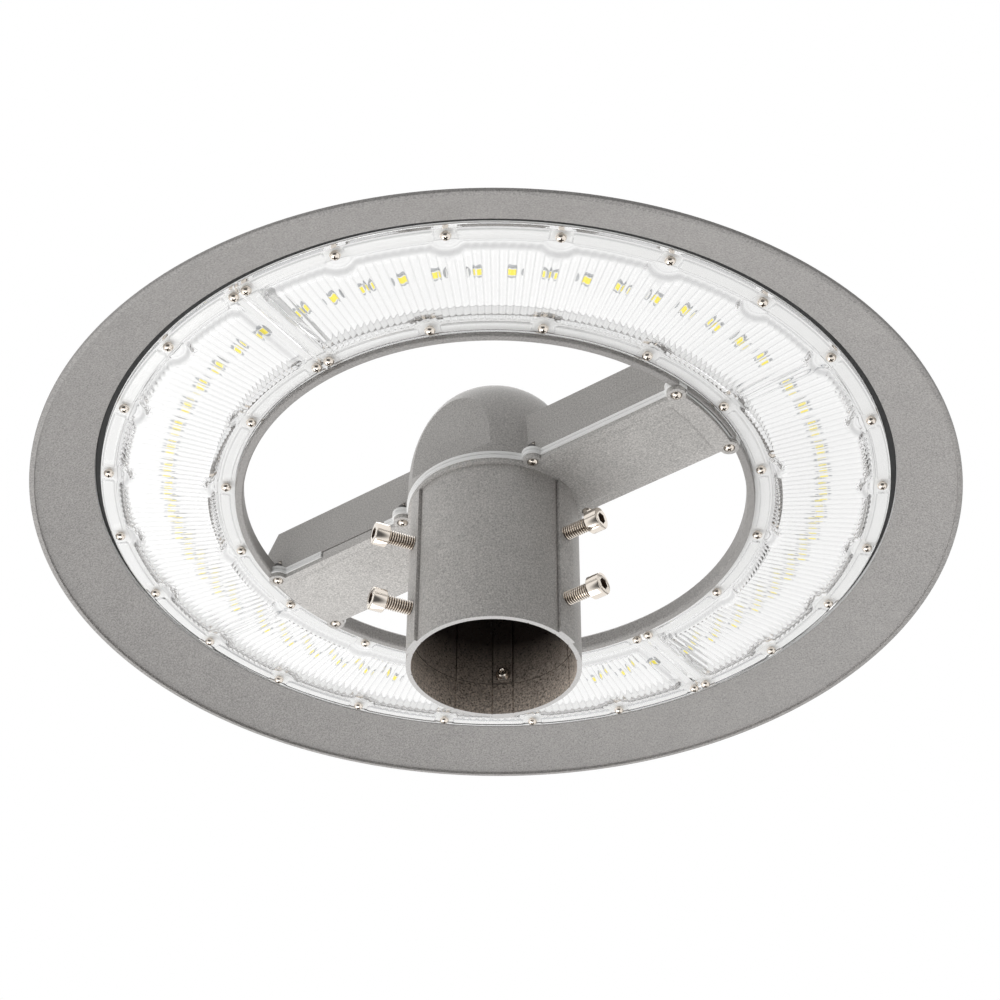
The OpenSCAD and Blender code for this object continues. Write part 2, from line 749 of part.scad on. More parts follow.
module driver() {
    translate([driver_x, 0, 0]) color("whitesmoke") difference() {
        union() {
            translate([0, 0, driver_top - driver_h]) linear_extrude(driver_h) {
                square([driver_len, driver_w - 2 * wall], center = true);
                square([driver_len - 2 * wall, driver_w], center = true);
                for (sx = [-1, 1], sy = [-1, 1])
                    translate([sx * (driver_len / 2 - wall), sy * (driver_w / 2 - wall)])
                        circle(r = wall);
            }
            translate([-driver_len / 2 - ear_len, -driver_w / 4, driver_top - ear_t])
                cube([driver_len + 2 * ear_len, driver_w / 2, ear_t]);
        }
        for (end = [-1, 1]) translate([end * ear_x, 0, 0])
            bar(driver_screw_d, driver_top - ear_t - over, driver_top + over);
    }
}

module driver_screws() {
    head = driver_screw_d * head_h_share;
    color(nickel) for (side = [-1, 1], end = [-1, 1])
        translate([side * (driver_x + end * ear_x), 0, 0]) {
            bar(driver_screw_d, driver_top - ear_t, driver_top - ear_t + driver_screw_len);
            bar(2 * driver_screw_d, driver_top - ear_t - head, driver_top - ear_t);
        }
}

module terminal_block() {
    color("ivory") translate([block_x, -terminal_len / 2, z_seal]) difference() {
        cube([terminal_w, terminal_len, terminal_h]);
        for (i = [0:2]) translate([terminal_w / 2, terminal_len * (i + 0.5) / 3,
            terminal_h / 2 + over]) cylinder(d = earth_d, h = terminal_h / 2);
    }
}

module surge_protector() {
    color("royalblue") translate([-block_x - surge_w, -surge_len / 2, z_seal]) {
        cube([surge_w, surge_len, surge_h - wall]);
        translate([wall, wall, surge_h - wall])
            cube([surge_w - 2 * wall, surge_len - 2 * wall, wall]);
    }
}

// Straight wire along X at the height of all the wires
module wire(x_low, x_high, y) {
    translate([x_low, y, z_wire]) rotate([0, 90, 0]) cylinder(d = wire_d, h = x_high - x_low);
}

module supply_leads() {
    near = driver_x - driver_len / 2;
    color("sienna") for (y = [-2 * wire_d, 0, 2 * wire_d]) {
        wire(block_x + terminal_w, near, y);
        wire(-near, -block_x - surge_w, y);
        wire(-block_x, block_x, y);
    }
}

module board_leads() {
    color("firebrick") for (side = [0, 180], y = [-1, 1]) rotate(side)
        wire(driver_x + driver_len / 2, board_in_r + wire_d,
            lead_y + y * (wire_d / 2 + fit));
}

module cable_gland() {
    z_hex = z_cover - gland_washer_t;
    color("dimgrey") difference() {
        union() {
            translate([0, 0, z_hex - gland_hex_h])
                cylinder(d = gland_af * hex_corner, h = gland_hex_h, $fn = 6);
            translate([0, 0, z_hex - gland_hex_h - gland_cap_h])
                cylinder(d1 = gland_af * cap_share, d2 = gland_af, h = gland_cap_h);
            bar(gland_d, z_hex, z_seal + gland_nut_h + over);
        }
        bar(gland_bore, z_hex - gland_hex_h - gland_cap_h - over, z_tall);
    }
}

module gland_washer() {
    color("black") difference() {
        bar(gland_af, z_cover - gland_washer_t, z_cover);
        bar(gland_d, z_cover - gland_washer_t - over, z_cover + over);
    }
}

module gland_nut() {
    color("dimgrey") difference() {
        translate([0, 0, z_seal])
            cylinder(d = gland_af * hex_corner, h = gland_nut_h, $fn = 6);
        bar(gland_d, z_seal - over, z_seal + gland_nut_h + over);
    }
}

module breather_vent() {
    color("black") translate([0, vent_y, 0]) {
        bar(vent_thread_d, z_cover, z_seal + over);
        bar(vent_d, z_cover - vent_h, z_cover);
    }
}

module earth_lug() {
    top = z_seal + post_h;
    color("gold") translate([0, -earth_y, 0]) difference() {
        union() {
            bar(post_d, top, top + earth_lug_t);
            translate([-post_d, -earth_d / 2, top]) cube([post_d, earth_d, earth_lug_t]);
        }
        bar(earth_d, top - over, top + earth_lug_t + over);
    }
}

module earth_screw() {
    top = z_seal + post_h + earth_lug_t;
    color("limegreen") translate([0, -earth_y, 0]) {
        bar(earth_d, z_cover + edge, top);
        bar(2 * earth_d, top, top + earth_d * head_h_share);
    }
}

canopy_ring();
bridge_housing();
bridge_cover();
bridge_seal();
pole_socket();
socket_screws();
clamp_screw(0, clamp_low + clamp_rise);  // clamp_screw_right_upper
clamp_screw(0, clamp_low);  // clamp_screw_right_lower
clamp_screw(120, clamp_low + clamp_rise);  // clamp_screw_rear_upper
clamp_screw(120, clamp_low);  // clamp_screw_rear_lower
clamp_screw(240, clamp_low + clamp_rise);  // clamp_screw_left_upper
clamp_screw(240, clamp_low);  // clamp_screw_left_lower
lens();  // lens_right
mirror([1, 0, 0]) lens();  // lens_left
lens_seal();  // lens_seal_right
mirror([1, 0, 0]) lens_seal();  // lens_seal_left
color(nickel) at_lens_screws(outer_angles, outer_circle_r)  // outer_lens_screws
        pan_screw(z_flange, lens_screw_len);
color(nickel) at_lens_screws(inner_angles, inner_circle_r)  // inner_lens_screws
        pan_screw(z_flange, lens_screw_len);
cover_screws();
light_board(0);  // light_board_rear_right
light_board(1);  // light_board_rear_left
light_board(2);  // light_board_front_left
light_board(3);  // light_board_front_right
heat_pads();
light_chips();
driver();  // driver_right
rotate(180) driver();  // driver_left
driver_screws();
terminal_block();
surge_protector();
supply_leads();
board_leads();
cable_gland();
gland_washer();
gland_nut();
breather_vent();
earth_screw();
earth_lug();
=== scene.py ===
import math

import bpy
import numpy as np
from bpy.props import FloatProperty, FloatVectorProperty, IntProperty, PointerProperty
from mathutils import Matrix, Vector


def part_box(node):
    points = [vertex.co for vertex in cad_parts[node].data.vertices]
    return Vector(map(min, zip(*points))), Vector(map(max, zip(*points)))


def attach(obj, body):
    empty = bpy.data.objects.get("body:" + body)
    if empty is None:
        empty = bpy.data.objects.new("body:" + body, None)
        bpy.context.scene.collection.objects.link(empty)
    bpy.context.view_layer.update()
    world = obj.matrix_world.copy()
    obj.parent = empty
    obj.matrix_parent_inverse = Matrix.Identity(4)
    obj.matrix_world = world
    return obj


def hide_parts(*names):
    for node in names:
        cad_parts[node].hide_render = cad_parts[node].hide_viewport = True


bl_info = {
    "name": "Park light",
    "version": (1, 0, 0),
    "blender": (4, 5, 0),
    "location": "View3D > Sidebar > Park light",
    "description": "Dresses the packed park light with its detailed pieces and finishes",
    "category": "Object",
}

MM = 0.001
HALF_TURN = math.pi
FULL_TURN = 2 * math.pi
BODY = "lamp"
SIDES = (-1, 1)

# Points closer than MERGE become one, and faces within NEAR of a height or radius count as lying on it
MERGE = MM / 1000
NEAR = MM / 10

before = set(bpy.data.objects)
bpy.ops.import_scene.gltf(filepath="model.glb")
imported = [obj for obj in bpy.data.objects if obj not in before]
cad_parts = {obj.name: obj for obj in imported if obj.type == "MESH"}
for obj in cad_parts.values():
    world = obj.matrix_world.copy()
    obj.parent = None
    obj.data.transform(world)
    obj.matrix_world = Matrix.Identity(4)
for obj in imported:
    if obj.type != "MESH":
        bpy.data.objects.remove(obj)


def low(node):
    """Lowest corner of a CAD node."""
    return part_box(node)[0]


def high(node):
    """Highest corner of a CAD node."""
    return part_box(node)[1]


# Heights and radii that the frame gives
COVER_UNDER = high("pole_socket").z
SEAL_UNDER = low("bridge_seal").z
SEAL_TOP = high("bridge_seal").z
SEAL_MIDDLE = (SEAL_UNDER + SEAL_TOP) / 2
RIM_UNDER = low("canopy_ring").z
RIM_RADIUS = high("canopy_ring").x
LENS_CROWN = low("lens_right").z
LAND = high("lens_right").z
LENS_OUTER = high("lens_right").x
BOARD_UNDER = low("light_board_rear_right").z
RECESS_TOP = high("heat_pads").z
GROOVE_TOP = high("lens_seal_right").z

# Places on the bridge: half an arm's width, and the stretch of the left arm where the seal is tucked in
ARM_HALF_WIDTH = 27 * MM
TUCK_PLACE = -84 * MM
TUCK_LENGTH = 48 * MM

# The ring's pocket for the arms: the height of its middle, its own height and its play round the cover
POCKET_MIDDLE = SEAL_TOP - 8 * MM
POCKET_HEIGHT = 12 * MM
POCKET_PLAY = 1.5 * MM

# Azimuths of the tube's pads and clamp screws, in degrees
PAD_AZIMUTHS = {"right": 0, "rear": 120, "left": 240}

# How much the cross recesses of the lens screws turn with their angle, and those of the cover screws
# with their place
LENS_SCREW_SPIN = 3.1
COVER_SCREW_SPIN = 40

# Numbers of steps in a full turn, and on a lens in one flute
RING_STEPS = 288
SCREW_STEPS = 20
BOSS_STEPS = 24
CLAMP_STEPS = 64
THREAD_STEPS = 32
FLUTE_STEPS = 6

# The ring's top from the hole to the rim, as shares of its width and height
CANOPY_TOP_SHARES = (
    (0, 0.75), (0.012, 0.81), (0.03, 0.85), (0.09, 0.915), (0.205, 0.98), (0.37, 1), (0.52, 0.98),
    (0.625, 0.91), (0.70, 0.81), (0.82, 0.525), (0.92, 0.285), (0.975, 0.15), (1, 0.075))

# A pan head from its middle to its edge, as shares of its radius and height
PAN_HEAD_SHARES = ((0, 1), (0.3, 0.985), (0.6, 0.88), (0.84, 0.64), (0.97, 0.3), (1, 0.1), (0.97, 0))

# The attribute of a lens that says how grey painted shade makes its plastic
EDGE_SHADE = "edge_shade"

# How grey painted shade makes the lens plastic: on the outline of the raised body towards the hole and
# towards the rim, on the pads' edges, the bead, the flutes' valleys and the flange, and at least
SHADES = {"hole side": 2.4, "rim side": 2.8, "pads": 3.0, "bead": 0.5, "valleys": 0.4, "flange": 0.2,
          "least": 0.04}

# Rings of points on the two sides of a lens: how far from the body's foot they lie close together, and
# the steps between them there and further in
OUTSIDE_RINGS = (5 * MM, 0.6 * MM, 4 * MM)
INSIDE_RINGS = (9 * MM, 1.5 * MM, 8 * MM)

# The ray depth above which light in the lens plastic counts as trapped
TRAPPED_DEPTH = 2.5

# The floor's width, how far it lies below the mouth, and the distances between which it fades out
FLOOR_SIZE = 8
FLOOR_GAP = 0.5 * MM
FLOOR_FADE = (0.5, 1.5)

# Directions in which polished metal and soft light see a darker world
FRONT = (0.40, -0.75, -0.53)
SHADED_SIDE = (0.88, -0.42, -0.22)


def length_prop(name, description, value):
    """A length that a user can change, given in millimetres."""
    return FloatProperty(name=name, description=description, default=value * MM, unit="LENGTH")


def angle_prop(name, description, value):
    """An angle that a user can change, given in degrees."""
    return FloatProperty(name=name, description=description, default=math.radians(value), subtype="ANGLE")


def colour_prop(name, description, value):
    """A colour that a user can change."""
    return FloatVectorProperty(name=name, description=description, subtype="COLOR", size=4, min=0, max=1,
                               default=value)


def place_prop(name, description, value):
    """A place that a user can change."""
    return FloatVectorProperty(name=name, description=description, subtype="TRANSLATION", size=3,
                               default=value)


def level_prop(name, description, value):
    """A brightness or share that a user can change."""
    return FloatProperty(name=name, description=description, default=value, min=0, soft_max=2,
                         subtype="FACTOR")


def power_prop(name, description, value):
    """A lamp's power that a user can change."""
    return FloatProperty(name=name, description=description, default=value, min=0, subtype="POWER")


class RingSizes(bpy.types.PropertyGroup):
    """Sizes of the cast canopy ring."""

    hole_radius: length_prop("Hole radius", "Radius of the hole in the ring", 145.4)
    lip_drop: length_prop("Lip drop", "How far the lip at the hole hangs below the land", 5.3)
    lip_width: length_prop("Lip width", "Width of the lip at the hole", 4.4)
    drip_outer: length_prop("Drip groove", "Outer radius of the drip groove round the lenses", 230.3)
    recess_slope: length_prop("Recess slope", "Sideways run of the white slopes beside the boards", 2.6)
    recess_inner: length_prop("Recess inner radius", "Inner radius of the recess for the boards", 161)
    recess_outer: length_prop("Recess outer radius", "Outer radius of the recess for the boards", 217)
    rim_width: length_prop("Rim width", "Width of the rim's lower edge", 2)
    rim_rounding: length_prop("Rim rounding", "Rounding of the rim's lower edge", 0.8)
    web: length_prop("Web", "Half the width of the web at each lens joint", 7.4)
    groove_margin: length_prop(
        "Groove margin", "Width of the land between the recess and a seal groove", 0.3)
    groove_inner: length_prop("Inner groove", "Inner radius of the inner seal groove", 150.5)
    rim_step: length_prop("Rim step", "Height of the small step inside the rim", 1.6)


class SocketSizes(bpy.types.PropertyGroup):
    """Sizes of the socket tube."""

    bore_radius: length_prop("Bore radius", "Radius of the tube's mouth", 45.6)
    tube_radius: length_prop("Tube radius", "Outer radius of the tube between its pads", 48.3)
    pad_half: angle_prop("Half pad", "Angle from the middle of a pad to the groove at its edge", 7.5)
    groove_width: length_prop("Groove width", "Width of the groove along each pad", 1.1)
    groove_depth: length_prop("Groove depth", "Depth of the groove along each pad", 1.3)
    groove_end: length_prop("Groove end", "Height above the mouth at which the grooves end", 3)


class LensSizes(bpy.types.PropertyGroup):
    """Sizes of the two clear lenses."""

    inner: length_prop("Inner radius", "Inner radius of a lens", 150.2)
    flange: length_prop("Flange", "Thickness of the flange", 3.1)
    wall: length_prop("Wall", "Thickness of the raised body's wall", 2.5)
    foot_inner: length_prop("Inner foot", "Radius of the body's inner foot", 161.1)
    foot_outer: length_prop("Outer foot", "Radius of the body's outer foot", 217)
    slope_inner: length_prop("Inner slope", "Sideways run of the inner slope", 2.2)
    slope_outer: length_prop("Outer slope", "Sideways run of the outer slope", 2.8)
    slope_notch: length_prop("Notch slope", "Sideways run of the slopes round the screws", 3.2)
    joint: length_prop("Joint", "Half the gap between the two lenses", 1)
    joint_foot: length_prop("Joint foot", "Distance of the body's foot from the joint plane", 7.4)
    flute_depth: length_prop("Flute depth", "Depth of the radial flutes", 0.64)
    scallop: length_prop("Scallop", "How far the flutes' valleys stand back on the slopes", 0.9)
    flutes: IntProperty(
        name="Flutes", description="Number of flutes on one lens", default=144, min=12)
    notch_outer: length_prop("Outer notch", "Radius of the notches round the outer screws", 9.2)
    notch_inner: length_prop("Inner notch", "Radius of the notches round the inner screws", 8)
    pad_height: length_prop("Pad height", "Height of the long pads between the screws", 1)
    pad_slope: length_prop("Pad slope", "Sideways run of the pads' edges", 0.9)
    pad_outer_from: length_prop("Outer pad from", "Inner radius of the outer pads", 218.6)
    pad_outer_to: length_prop("Outer pad to", "Outer radius of the outer pads", 226.2)
    pad_inner_from: length_prop("Inner pad from", "Inner radius of the inner pads", 152.6)
    pad_inner_to: length_prop("Inner pad to", "Outer radius of the inner pads", 159)
    pad_clear: length_prop("Pad clearance", "Distance of the pads from the screws", 5.6)
    pad_corner: length_prop("Pad corner", "Radius of the pads' corners", 2.5)
    bead_height: length_prop("Bead height", "Height of the bead round the body's foot", 0.5)
    bead_width: length_prop("Bead width", "Half the width of that bead", 0.9)
    edge: length_prop("Edge", "Rounding of the flange's edges", 0.4)
    seat_gap: length_prop("Seat gap", "Gap between the flange and its seal", 0.05)


class ScrewSizes(bpy.types.PropertyGroup):
    """Sizes of the small screws and of the clamp screws."""

    head: length_prop("Head", "Head diameter of the small screws", 6)
    head_height: length_prop("Head height", "Head height of the small screws", 2.4)
    shank: length_prop("Shank", "Thread diameter of the small screws", 3)
    lens_length: length_prop("Lens screw length", "Length of the lens screws under the head", 8)
    outer_circle: length_prop("Outer circle", "Radius of the outer circle of lens screws", 222)
    inner_circle: length_prop("Inner circle", "Radius of the inner circle of lens screws", 155.3)
    outer_step: angle_prop("Outer step", "Angle between two outer screws", 15)
    inner_step: angle_prop("Inner step", "Angle between two inner screws", 22.1)
    end_offset: length_prop("End offset", "Distance of the end screws from the joint plane", 4.2)
    clamp: length_prop("Clamp thread", "Thread diameter of the clamp screws", 8)
    clamp_pitch: length_prop("Clamp pitch", "Pitch of the clamp screws' thread", 1.4)
    clamp_head: length_prop("Clamp head", "Head diameter of the clamp screws", 13)
    clamp_head_height: length_prop("Clamp head height", "Head height of the clamp screws", 8)
    clamp_hex: length_prop("Clamp hexagon", "Width across the flats of the hexagon socket", 6)
    cover_far: length_prop("Far cover screws", "Distance of the far cover screws from the hub", 141.8)
    cover_near: length_prop("Near cover screws", "Distance of the near cover screws from the hub", 46.4)
    cover_side: length_prop("Cover screw side", "Distance of the cover screws from the arms' middle", 27.1)


class ChipSizes(bpy.types.PropertyGroup):
    """Sizes and places of the light chips."""

    circle: length_prop("Chip circle", "Radius of the circle of chips", 189.5)
    margin: angle_prop("Chip margin", "Angle from a board's end to its first chip", 4.2)
    count: IntProperty(name="Chips", description="Number of chips on one board", default=15, min=2)
    length: length_prop("Chip length", "Length of a chip along the ring's radius", 5.6)
    width: length_prop("Chip width", "Width of a chip", 5)
    thickness: length_prop("Chip thickness", "Thickness of a chip", 0.8)
    border: length_prop("Chip border", "Width of the white border round the phosphor", 0.6)
    plate_length: length_prop("Plate length", "Length of the tinned plate behind a chip", 9.6)
    plate_width: length_prop("Plate width", "Width of that plate", 7.4)
    plate_thickness: length_prop("Plate thickness", "Thickness of that plate", 0.12)


class Finishes(bpy.types.PropertyGroup):
    """Colours of the visible finishes."""

    coat: colour_prop("Powder coat", "Colour of the castings' coat", (0.305, 0.293, 0.283, 1))
    # The bridge and tube coats are lighter copies of the ring's coat: painted light, for the brighter
    # light on the bridge, the cover and the tube
    bridge_coat_painted_light: colour_prop(
        "Bridge coat, painted lighter", "Colour of the coat of the bridge", (0.385, 0.371, 0.356, 1))
    tube_coat: colour_prop(
        "Tube coat, painted lighter", "Colour of the coat of the cover and the tube", (0.462, 0.446, 0.428, 1))
    seal: colour_prop("Seal", "Colour of the silicone seals", (0.84, 0.84, 0.83, 1))
    nickel: colour_prop("Nickel", "Colour of the screws' plating", (0.83, 0.76, 0.68, 1))
    lens: colour_prop("Lens", "Tint of the clear lenses", (0.995, 0.995, 0.995, 1))
    board: colour_prop("Board", "Colour of the boards' white mask", (0.88, 0.88, 0.875, 1))
    phosphor: colour_prop("Phosphor", "Colour of the chips' phosphor", (1.0, 0.84, 0.05, 1))


class StageSizes(bpy.types.PropertyGroup):
    """Camera and lamps."""

    camera_place: place_prop("Camera place", "Where the camera stands", (0.58793, -0.79127, -0.68093))
    camera_aim: FloatVectorProperty(
        name="Camera aim", description="Direction in which the camera looks", subtype="DIRECTION", size=3,
        default=(-0.46965, 0.61576, 0.63267))
    camera_shift: FloatVectorProperty(
        name="Camera shift", description="Shift of the picture across and up", size=2,
        default=(0.0263, -0.0083))
    camera_roll: angle_prop("Camera roll", "How far the camera is turned about its aim", 0.81)
    focal_length: FloatProperty(
        name="Focal length", description="Focal length of the camera's lens, in millimetres",
        default=78.52, subtype="DISTANCE_CAMERA")
    world_strength: level_prop("World", "Strength of the light from all round", 1)
    world_shaded: level_prop("Shaded side", "Share of that light that comes from the shaded side", 0.2)
    through_glass: level_prop("Through glass", "How bright the world shows through the lenses", 0.83)
    gloss_front: level_prop("Gloss in front", "How bright the front shows in polished metal", 0.1)
    key_power: power_prop("Key lamp", "Power of the lamp below the light", 9)
    top_power: power_prop("Top lamp", "Power of the lamp above the light", 8)
    key_place: place_prop("Key lamp place", "Where the lamp below the light stands", (-0.7, 0.0, -1.15))
    top_place: place_prop("Top lamp place", "Where the lamp above the light stands", (-0.5, 0.4, 1.6))
    lamp_size: length_prop("Lamp size", "Width of both lamps", 1200)


# Modelling helpers


def leave_edit():
    """Goes back to object mode."""
    bpy.ops.object.mode_set(mode="OBJECT")


def deselect():
    """Leaves edit mode and selects nothing."""
    if bpy.context.object and bpy.context.object.mode != "OBJECT":
        leave_edit()
    bpy.ops.object.select_all(action="DESELECT")


def pick(*objects):
    """Selects these objects alone and makes the last one active."""
    deselect()
    for obj in objects:
        obj.select_set(True)
    bpy.context.view_layer.objects.active = objects[-1]


def edit(obj, kind="VERT"):
    """Opens an object in edit mode with everything selected."""
    pick(obj)
    bpy.ops.object.mode_set(mode="EDIT")
    bpy.ops.mesh.select_mode(type=kind)
    bpy.ops.mesh.select_all(action="SELECT")


def select_faces(obj, test):
    """Opens an object in edit mode with only those faces selected that pass a test."""
    edit(obj, "FACE")
    bpy.ops.mesh.select_all(action="DESELECT")
    leave_edit()
    for face in obj.data.polygons:
        face.select = test(face)
    bpy.ops.object.mode_set(mode="EDIT")


def chain(points):
    """Draws a chain of edges through points, vertex by vertex, and leaves it open in edit mode."""
    deselect()
    bpy.ops.mesh.primitive_plane_add(size=MM)
    bpy.ops.object.mode_set(mode="EDIT")
    bpy.ops.mesh.select_mode(type="VERT")
    bpy.ops.mesh.merge(type="CENTER")
    bpy.ops.transform.translate(value=points[0])
    for here, there in zip(points, points[1:]):
        bpy.ops.mesh.extrude_vertices_move(
            TRANSFORM_OT_translate={"value": Vector(there) - Vector(here)})
    return bpy.context.object


def turned(profile, steps, angle=FULL_TURN, start=0.0):
    """Turns a profile of (radius, height) points about Z.

    A profile that starts and ends on the axis, or at its own start, closes, and so do the open ends of
    a part turn.
    """
    obj = chain([Vector((r * math.cos(start), r * math.sin(start), z)) for r, z in profile])
    bpy.ops.mesh.select_all(action="SELECT")
    bpy.ops.mesh.remove_doubles(threshold=MERGE)
    leave_edit()
    apply_modifier(obj, "SCREW", angle=angle, steps=steps, render_steps=steps, axis="Z")
    close_mesh(obj, angle < FULL_TURN)
    return obj


def close_mesh(obj, fill):
    """Merges a mesh's doubled points, fills its holes if asked and turns its faces outwards."""
    edit(obj)
    bpy.ops.mesh.remove_doubles(threshold=MERGE)
    if fill:
        bpy.ops.mesh.fill_holes(sides=0)
    bpy.ops.mesh.normals_make_consistent(inside=False)
    leave_edit()


def apply_modifier(obj, kind, **settings):
    """Adds one modifier with its settings and applies it."""
    pick(obj)
    modifier = obj.modifiers.new(kind.title(), kind)
    for key, value in settings.items():
        setattr(modifier, key, value)
    bpy.ops.object.modifier_apply(modifier=modifier.name)


def combine(obj, other, operation):
    """Unites, cuts or intersects obj with another object, which is used up."""
    apply_modifier(obj, "BOOLEAN", object=other, operation=operation, solver="EXACT")
    bpy.data.objects.remove(other)


def copy_of(node):
    """A clean copy of a CAD node's mesh as a new object, with flat faces merged."""
    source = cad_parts[node]
    obj = bpy.data.objects.new(node + "_copy", source.data.copy())
    bpy.context.scene.collection.objects.link(obj)
    obj.data.materials.clear()
    edit(obj)
    bpy.ops.mesh.customdata_custom_splitnormals_clear()
    bpy.ops.mesh.remove_doubles(threshold=MM / 500)
    bpy.ops.mesh.dissolve_limited(angle_limit=math.radians(0.6))
    leave_edit()
    return obj


def placed_copy(pattern, matrix):
    """A copy of a piece with its own mesh, put in place by a matrix."""
    obj = pattern.copy()
    obj.data = pattern.data.copy()
    bpy.context.scene.collection.objects.link(obj)
    obj.data.transform(matrix)
    return obj


def standing(place, spin):
    """The matrix that turns a piece about Z and moves it to its place."""
    return Matrix.Translation(place) @ Matrix.Rotation(spin, 4, "Z")


def soften(obj, width, segments=2, angle=30):
    """Rounds every edge that is sharper than an angle."""
    apply_modifier(
        obj, "BEVEL", width=width, segments=segments, limit_method="ANGLE",
        angle_limit=math.radians(angle), use_clamp_overlap=True, miter_outer="MITER_ARC")


def join(objects):
    """Joins objects into one."""
    pick(*objects)
    if len(objects) > 1:
        bpy.ops.object.join()
    return bpy.context.object


def place_in_mesh(obj):
    """Puts an object's place, turn and size into its mesh."""
    pick(obj)
    bpy.ops.object.transform_apply(location=True, rotation=True, scale=True)


def block(size, middle, turn=0.0):
    """A block of the given size about its middle, turned about Z."""
    deselect()
    bpy.ops.mesh.primitive_cube_add(size=1, location=middle)
    obj = bpy.context.object
    obj.scale = size
    obj.rotation_euler.z = turn
    place_in_mesh(obj)
    return obj


def add_finishes(obj, finishes):
    """Gives an object a material slot for each finish that it lacks."""
    for finish in finishes:
        if MATERIALS[finish].name not in obj.data.materials:
            obj.data.materials.append(MATERIALS[finish])


def paint(obj, finishes, choose):
    """Gives each face the finish chosen from its middle, that point's distance from Z and its normal."""
    add_finishes(obj, finishes)
    for face in obj.data.polygons:
        radius = math.hypot(face.center.x, face.center.y)
        face.material_index = finishes.index(choose(face.center, radius, face.normal))


def finish_piece(obj, name, finishes=(), body=BODY, nodes=(), smooth=35):
    """Names a piece, gives it the finishes it lacks and lets it ride on its body in place of CAD nodes."""
    place_in_mesh(obj)
    bpy.ops.object.shade_smooth_by_angle(angle=math.radians(smooth))
    obj.name = name
    obj.data.name = name
    add_finishes(obj, finishes)
    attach(obj, body)
    if nodes:
        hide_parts(*nodes)


def smooth_through(points, steps):
    """Points along a smooth curve through the given points."""
    found = []
    padded = [points[0], *points, points[-1]]
    for a, b, c, d in zip(padded, padded[1:], padded[2:], padded[3:]):
        for i in range(steps):
            t = i / steps
            found.append(tuple(
                0.5 * (2 * q + (r - p) * t + (2 * p - 5 * q + 4 * r - s) * t * t
                       + (3 * q - p - 3 * r + s) * t ** 3)
                for p, q, r, s in zip(a, b, c, d)))
    return found + [points[-1]]


# Materials


class Tree:
    """Adds nodes to a node tree and links them."""

    def __init__(self, tree):
        self.nodes = tree.nodes
        self.links = tree.links

    def put(self, value, socket):
        """Links another node's output to an input, or gives the input a plain value."""
        if isinstance(value, bpy.types.NodeSocket):
            self.links.new(value, socket)
        else:
            socket.default_value = value

    def add(self, kind, settings=None, **inputs):
        """Adds a node with its settings and its inputs by name."""
        node = self.nodes.new(kind)
        for key, value in (settings or {}).items():
            setattr(node, key, value)
        for key, value in inputs.items():
            self.put(value, node.inputs[key.replace("_", " ")])
        return node

    def calc(self, operation, *values):
        """The result of one step of arithmetic."""
        node = self.add("ShaderNodeMath", {"operation": operation})
        for value, socket in zip(values, node.inputs):
            self.put(value, socket)
        return node.outputs[0]

    def ramp(self, value, ends=(0, 1), results=(0, 1), kind="LINEAR"):
        """Goes from the first result to the second while a value goes from end to end."""
        node = self.add("ShaderNodeMapRange", {"interpolation_type": kind}, Value=value, From_Min=ends[0],
                        From_Max=ends[1], To_Min=results[0], To_Max=results[1])
        return node.outputs["Result"]

    def place(self):
        """Each point's own place in its object."""
        return self.add("ShaderNodeTexCoord").outputs["Object"]

    def mix_surface(self, share, first, second):
        """Mixes two shaders by a share of the second and makes the mix the material's surface."""
        mix = self.add("ShaderNodeMixShader", Fac=share)
        self.links.new(first.outputs[0], mix.inputs[1])
        self.links.new(second.outputs[0], mix.inputs[2])
        self.links.new(mix.outputs[0], self.nodes["Material Output"].inputs["Surface"])


def new_material(name):
    """A new material, its node tree and its shader."""
    material = bpy.data.materials.new(name)
    material.use_nodes = True
    tree = Tree(material.node_tree)
    return material, tree, tree.nodes["Principled BSDF"]


def effect_group(name, inputs, outputs):
    """An empty shader node group with named float, colour or vector sockets, and its tree."""
    group = bpy.data.node_groups.new(name, "ShaderNodeTree")
    for label, kind, default in inputs:
        socket = group.interface.new_socket(label, in_out="INPUT", socket_type=kind)
        socket.default_value = default
    for label, kind in outputs:
        group.interface.new_socket(label, in_out="OUTPUT", socket_type=kind)
    tree = Tree(group)
    return group, tree, tree.add("NodeGroupInput"), tree.add("NodeGroupOutput")


def make_grain():
    """Mottled grain with fine relief, such as a powder coat or a moulded surface has."""
    group, tree, given, result = effect_group(
        "Surface grain",
        [("Colour", "NodeSocketColor", (0.5, 0.5, 0.5, 1)), ("Grain size", "NodeSocketFloat", MM),
         ("Contrast", "NodeSocketFloat", 0.1), ("Relief", "NodeSocketFloat", 0.05 * MM),
         ("Roughness", "NodeSocketFloat", 0.5)],
        [("Colour", "NodeSocketColor"), ("Roughness", "NodeSocketFloat"),
         ("Normal", "NodeSocketVector")])
    place = tree.place()
    scale = tree.calc("DIVIDE", 1.0, given.outputs["Grain size"])
    fine = tree.add("ShaderNodeTexNoise", Vector=place, Scale=scale, Detail=2.0, Roughness=0.6)
    broad = tree.add("ShaderNodeTexNoise", Vector=place, Scale=55.0, Detail=2.0, Roughness=0.5)
    swing = tree.calc("MULTIPLY_ADD", fine.outputs["Fac"], 4.0, -2.0)
    slow = tree.calc("MULTIPLY_ADD", broad.outputs["Fac"], 0.4, -0.2)
    gain = tree.calc("MULTIPLY_ADD", tree.calc("ADD", swing, slow), given.outputs["Contrast"], 1.0)
    tint = tree.add("ShaderNodeVectorMath", {"operation": "SCALE"}, Vector=given.outputs["Colour"],
                    Scale=gain)
    bump = tree.add("ShaderNodeBump", Height=fine.outputs["Fac"], Distance=given.outputs["Relief"])
    tree.links.new(tint.outputs[0], result.inputs["Colour"])
    tree.links.new(tree.calc("MULTIPLY", given.outputs["Roughness"], gain), result.inputs["Roughness"])
    tree.links.new(bump.outputs["Normal"], result.inputs["Normal"])
    return group


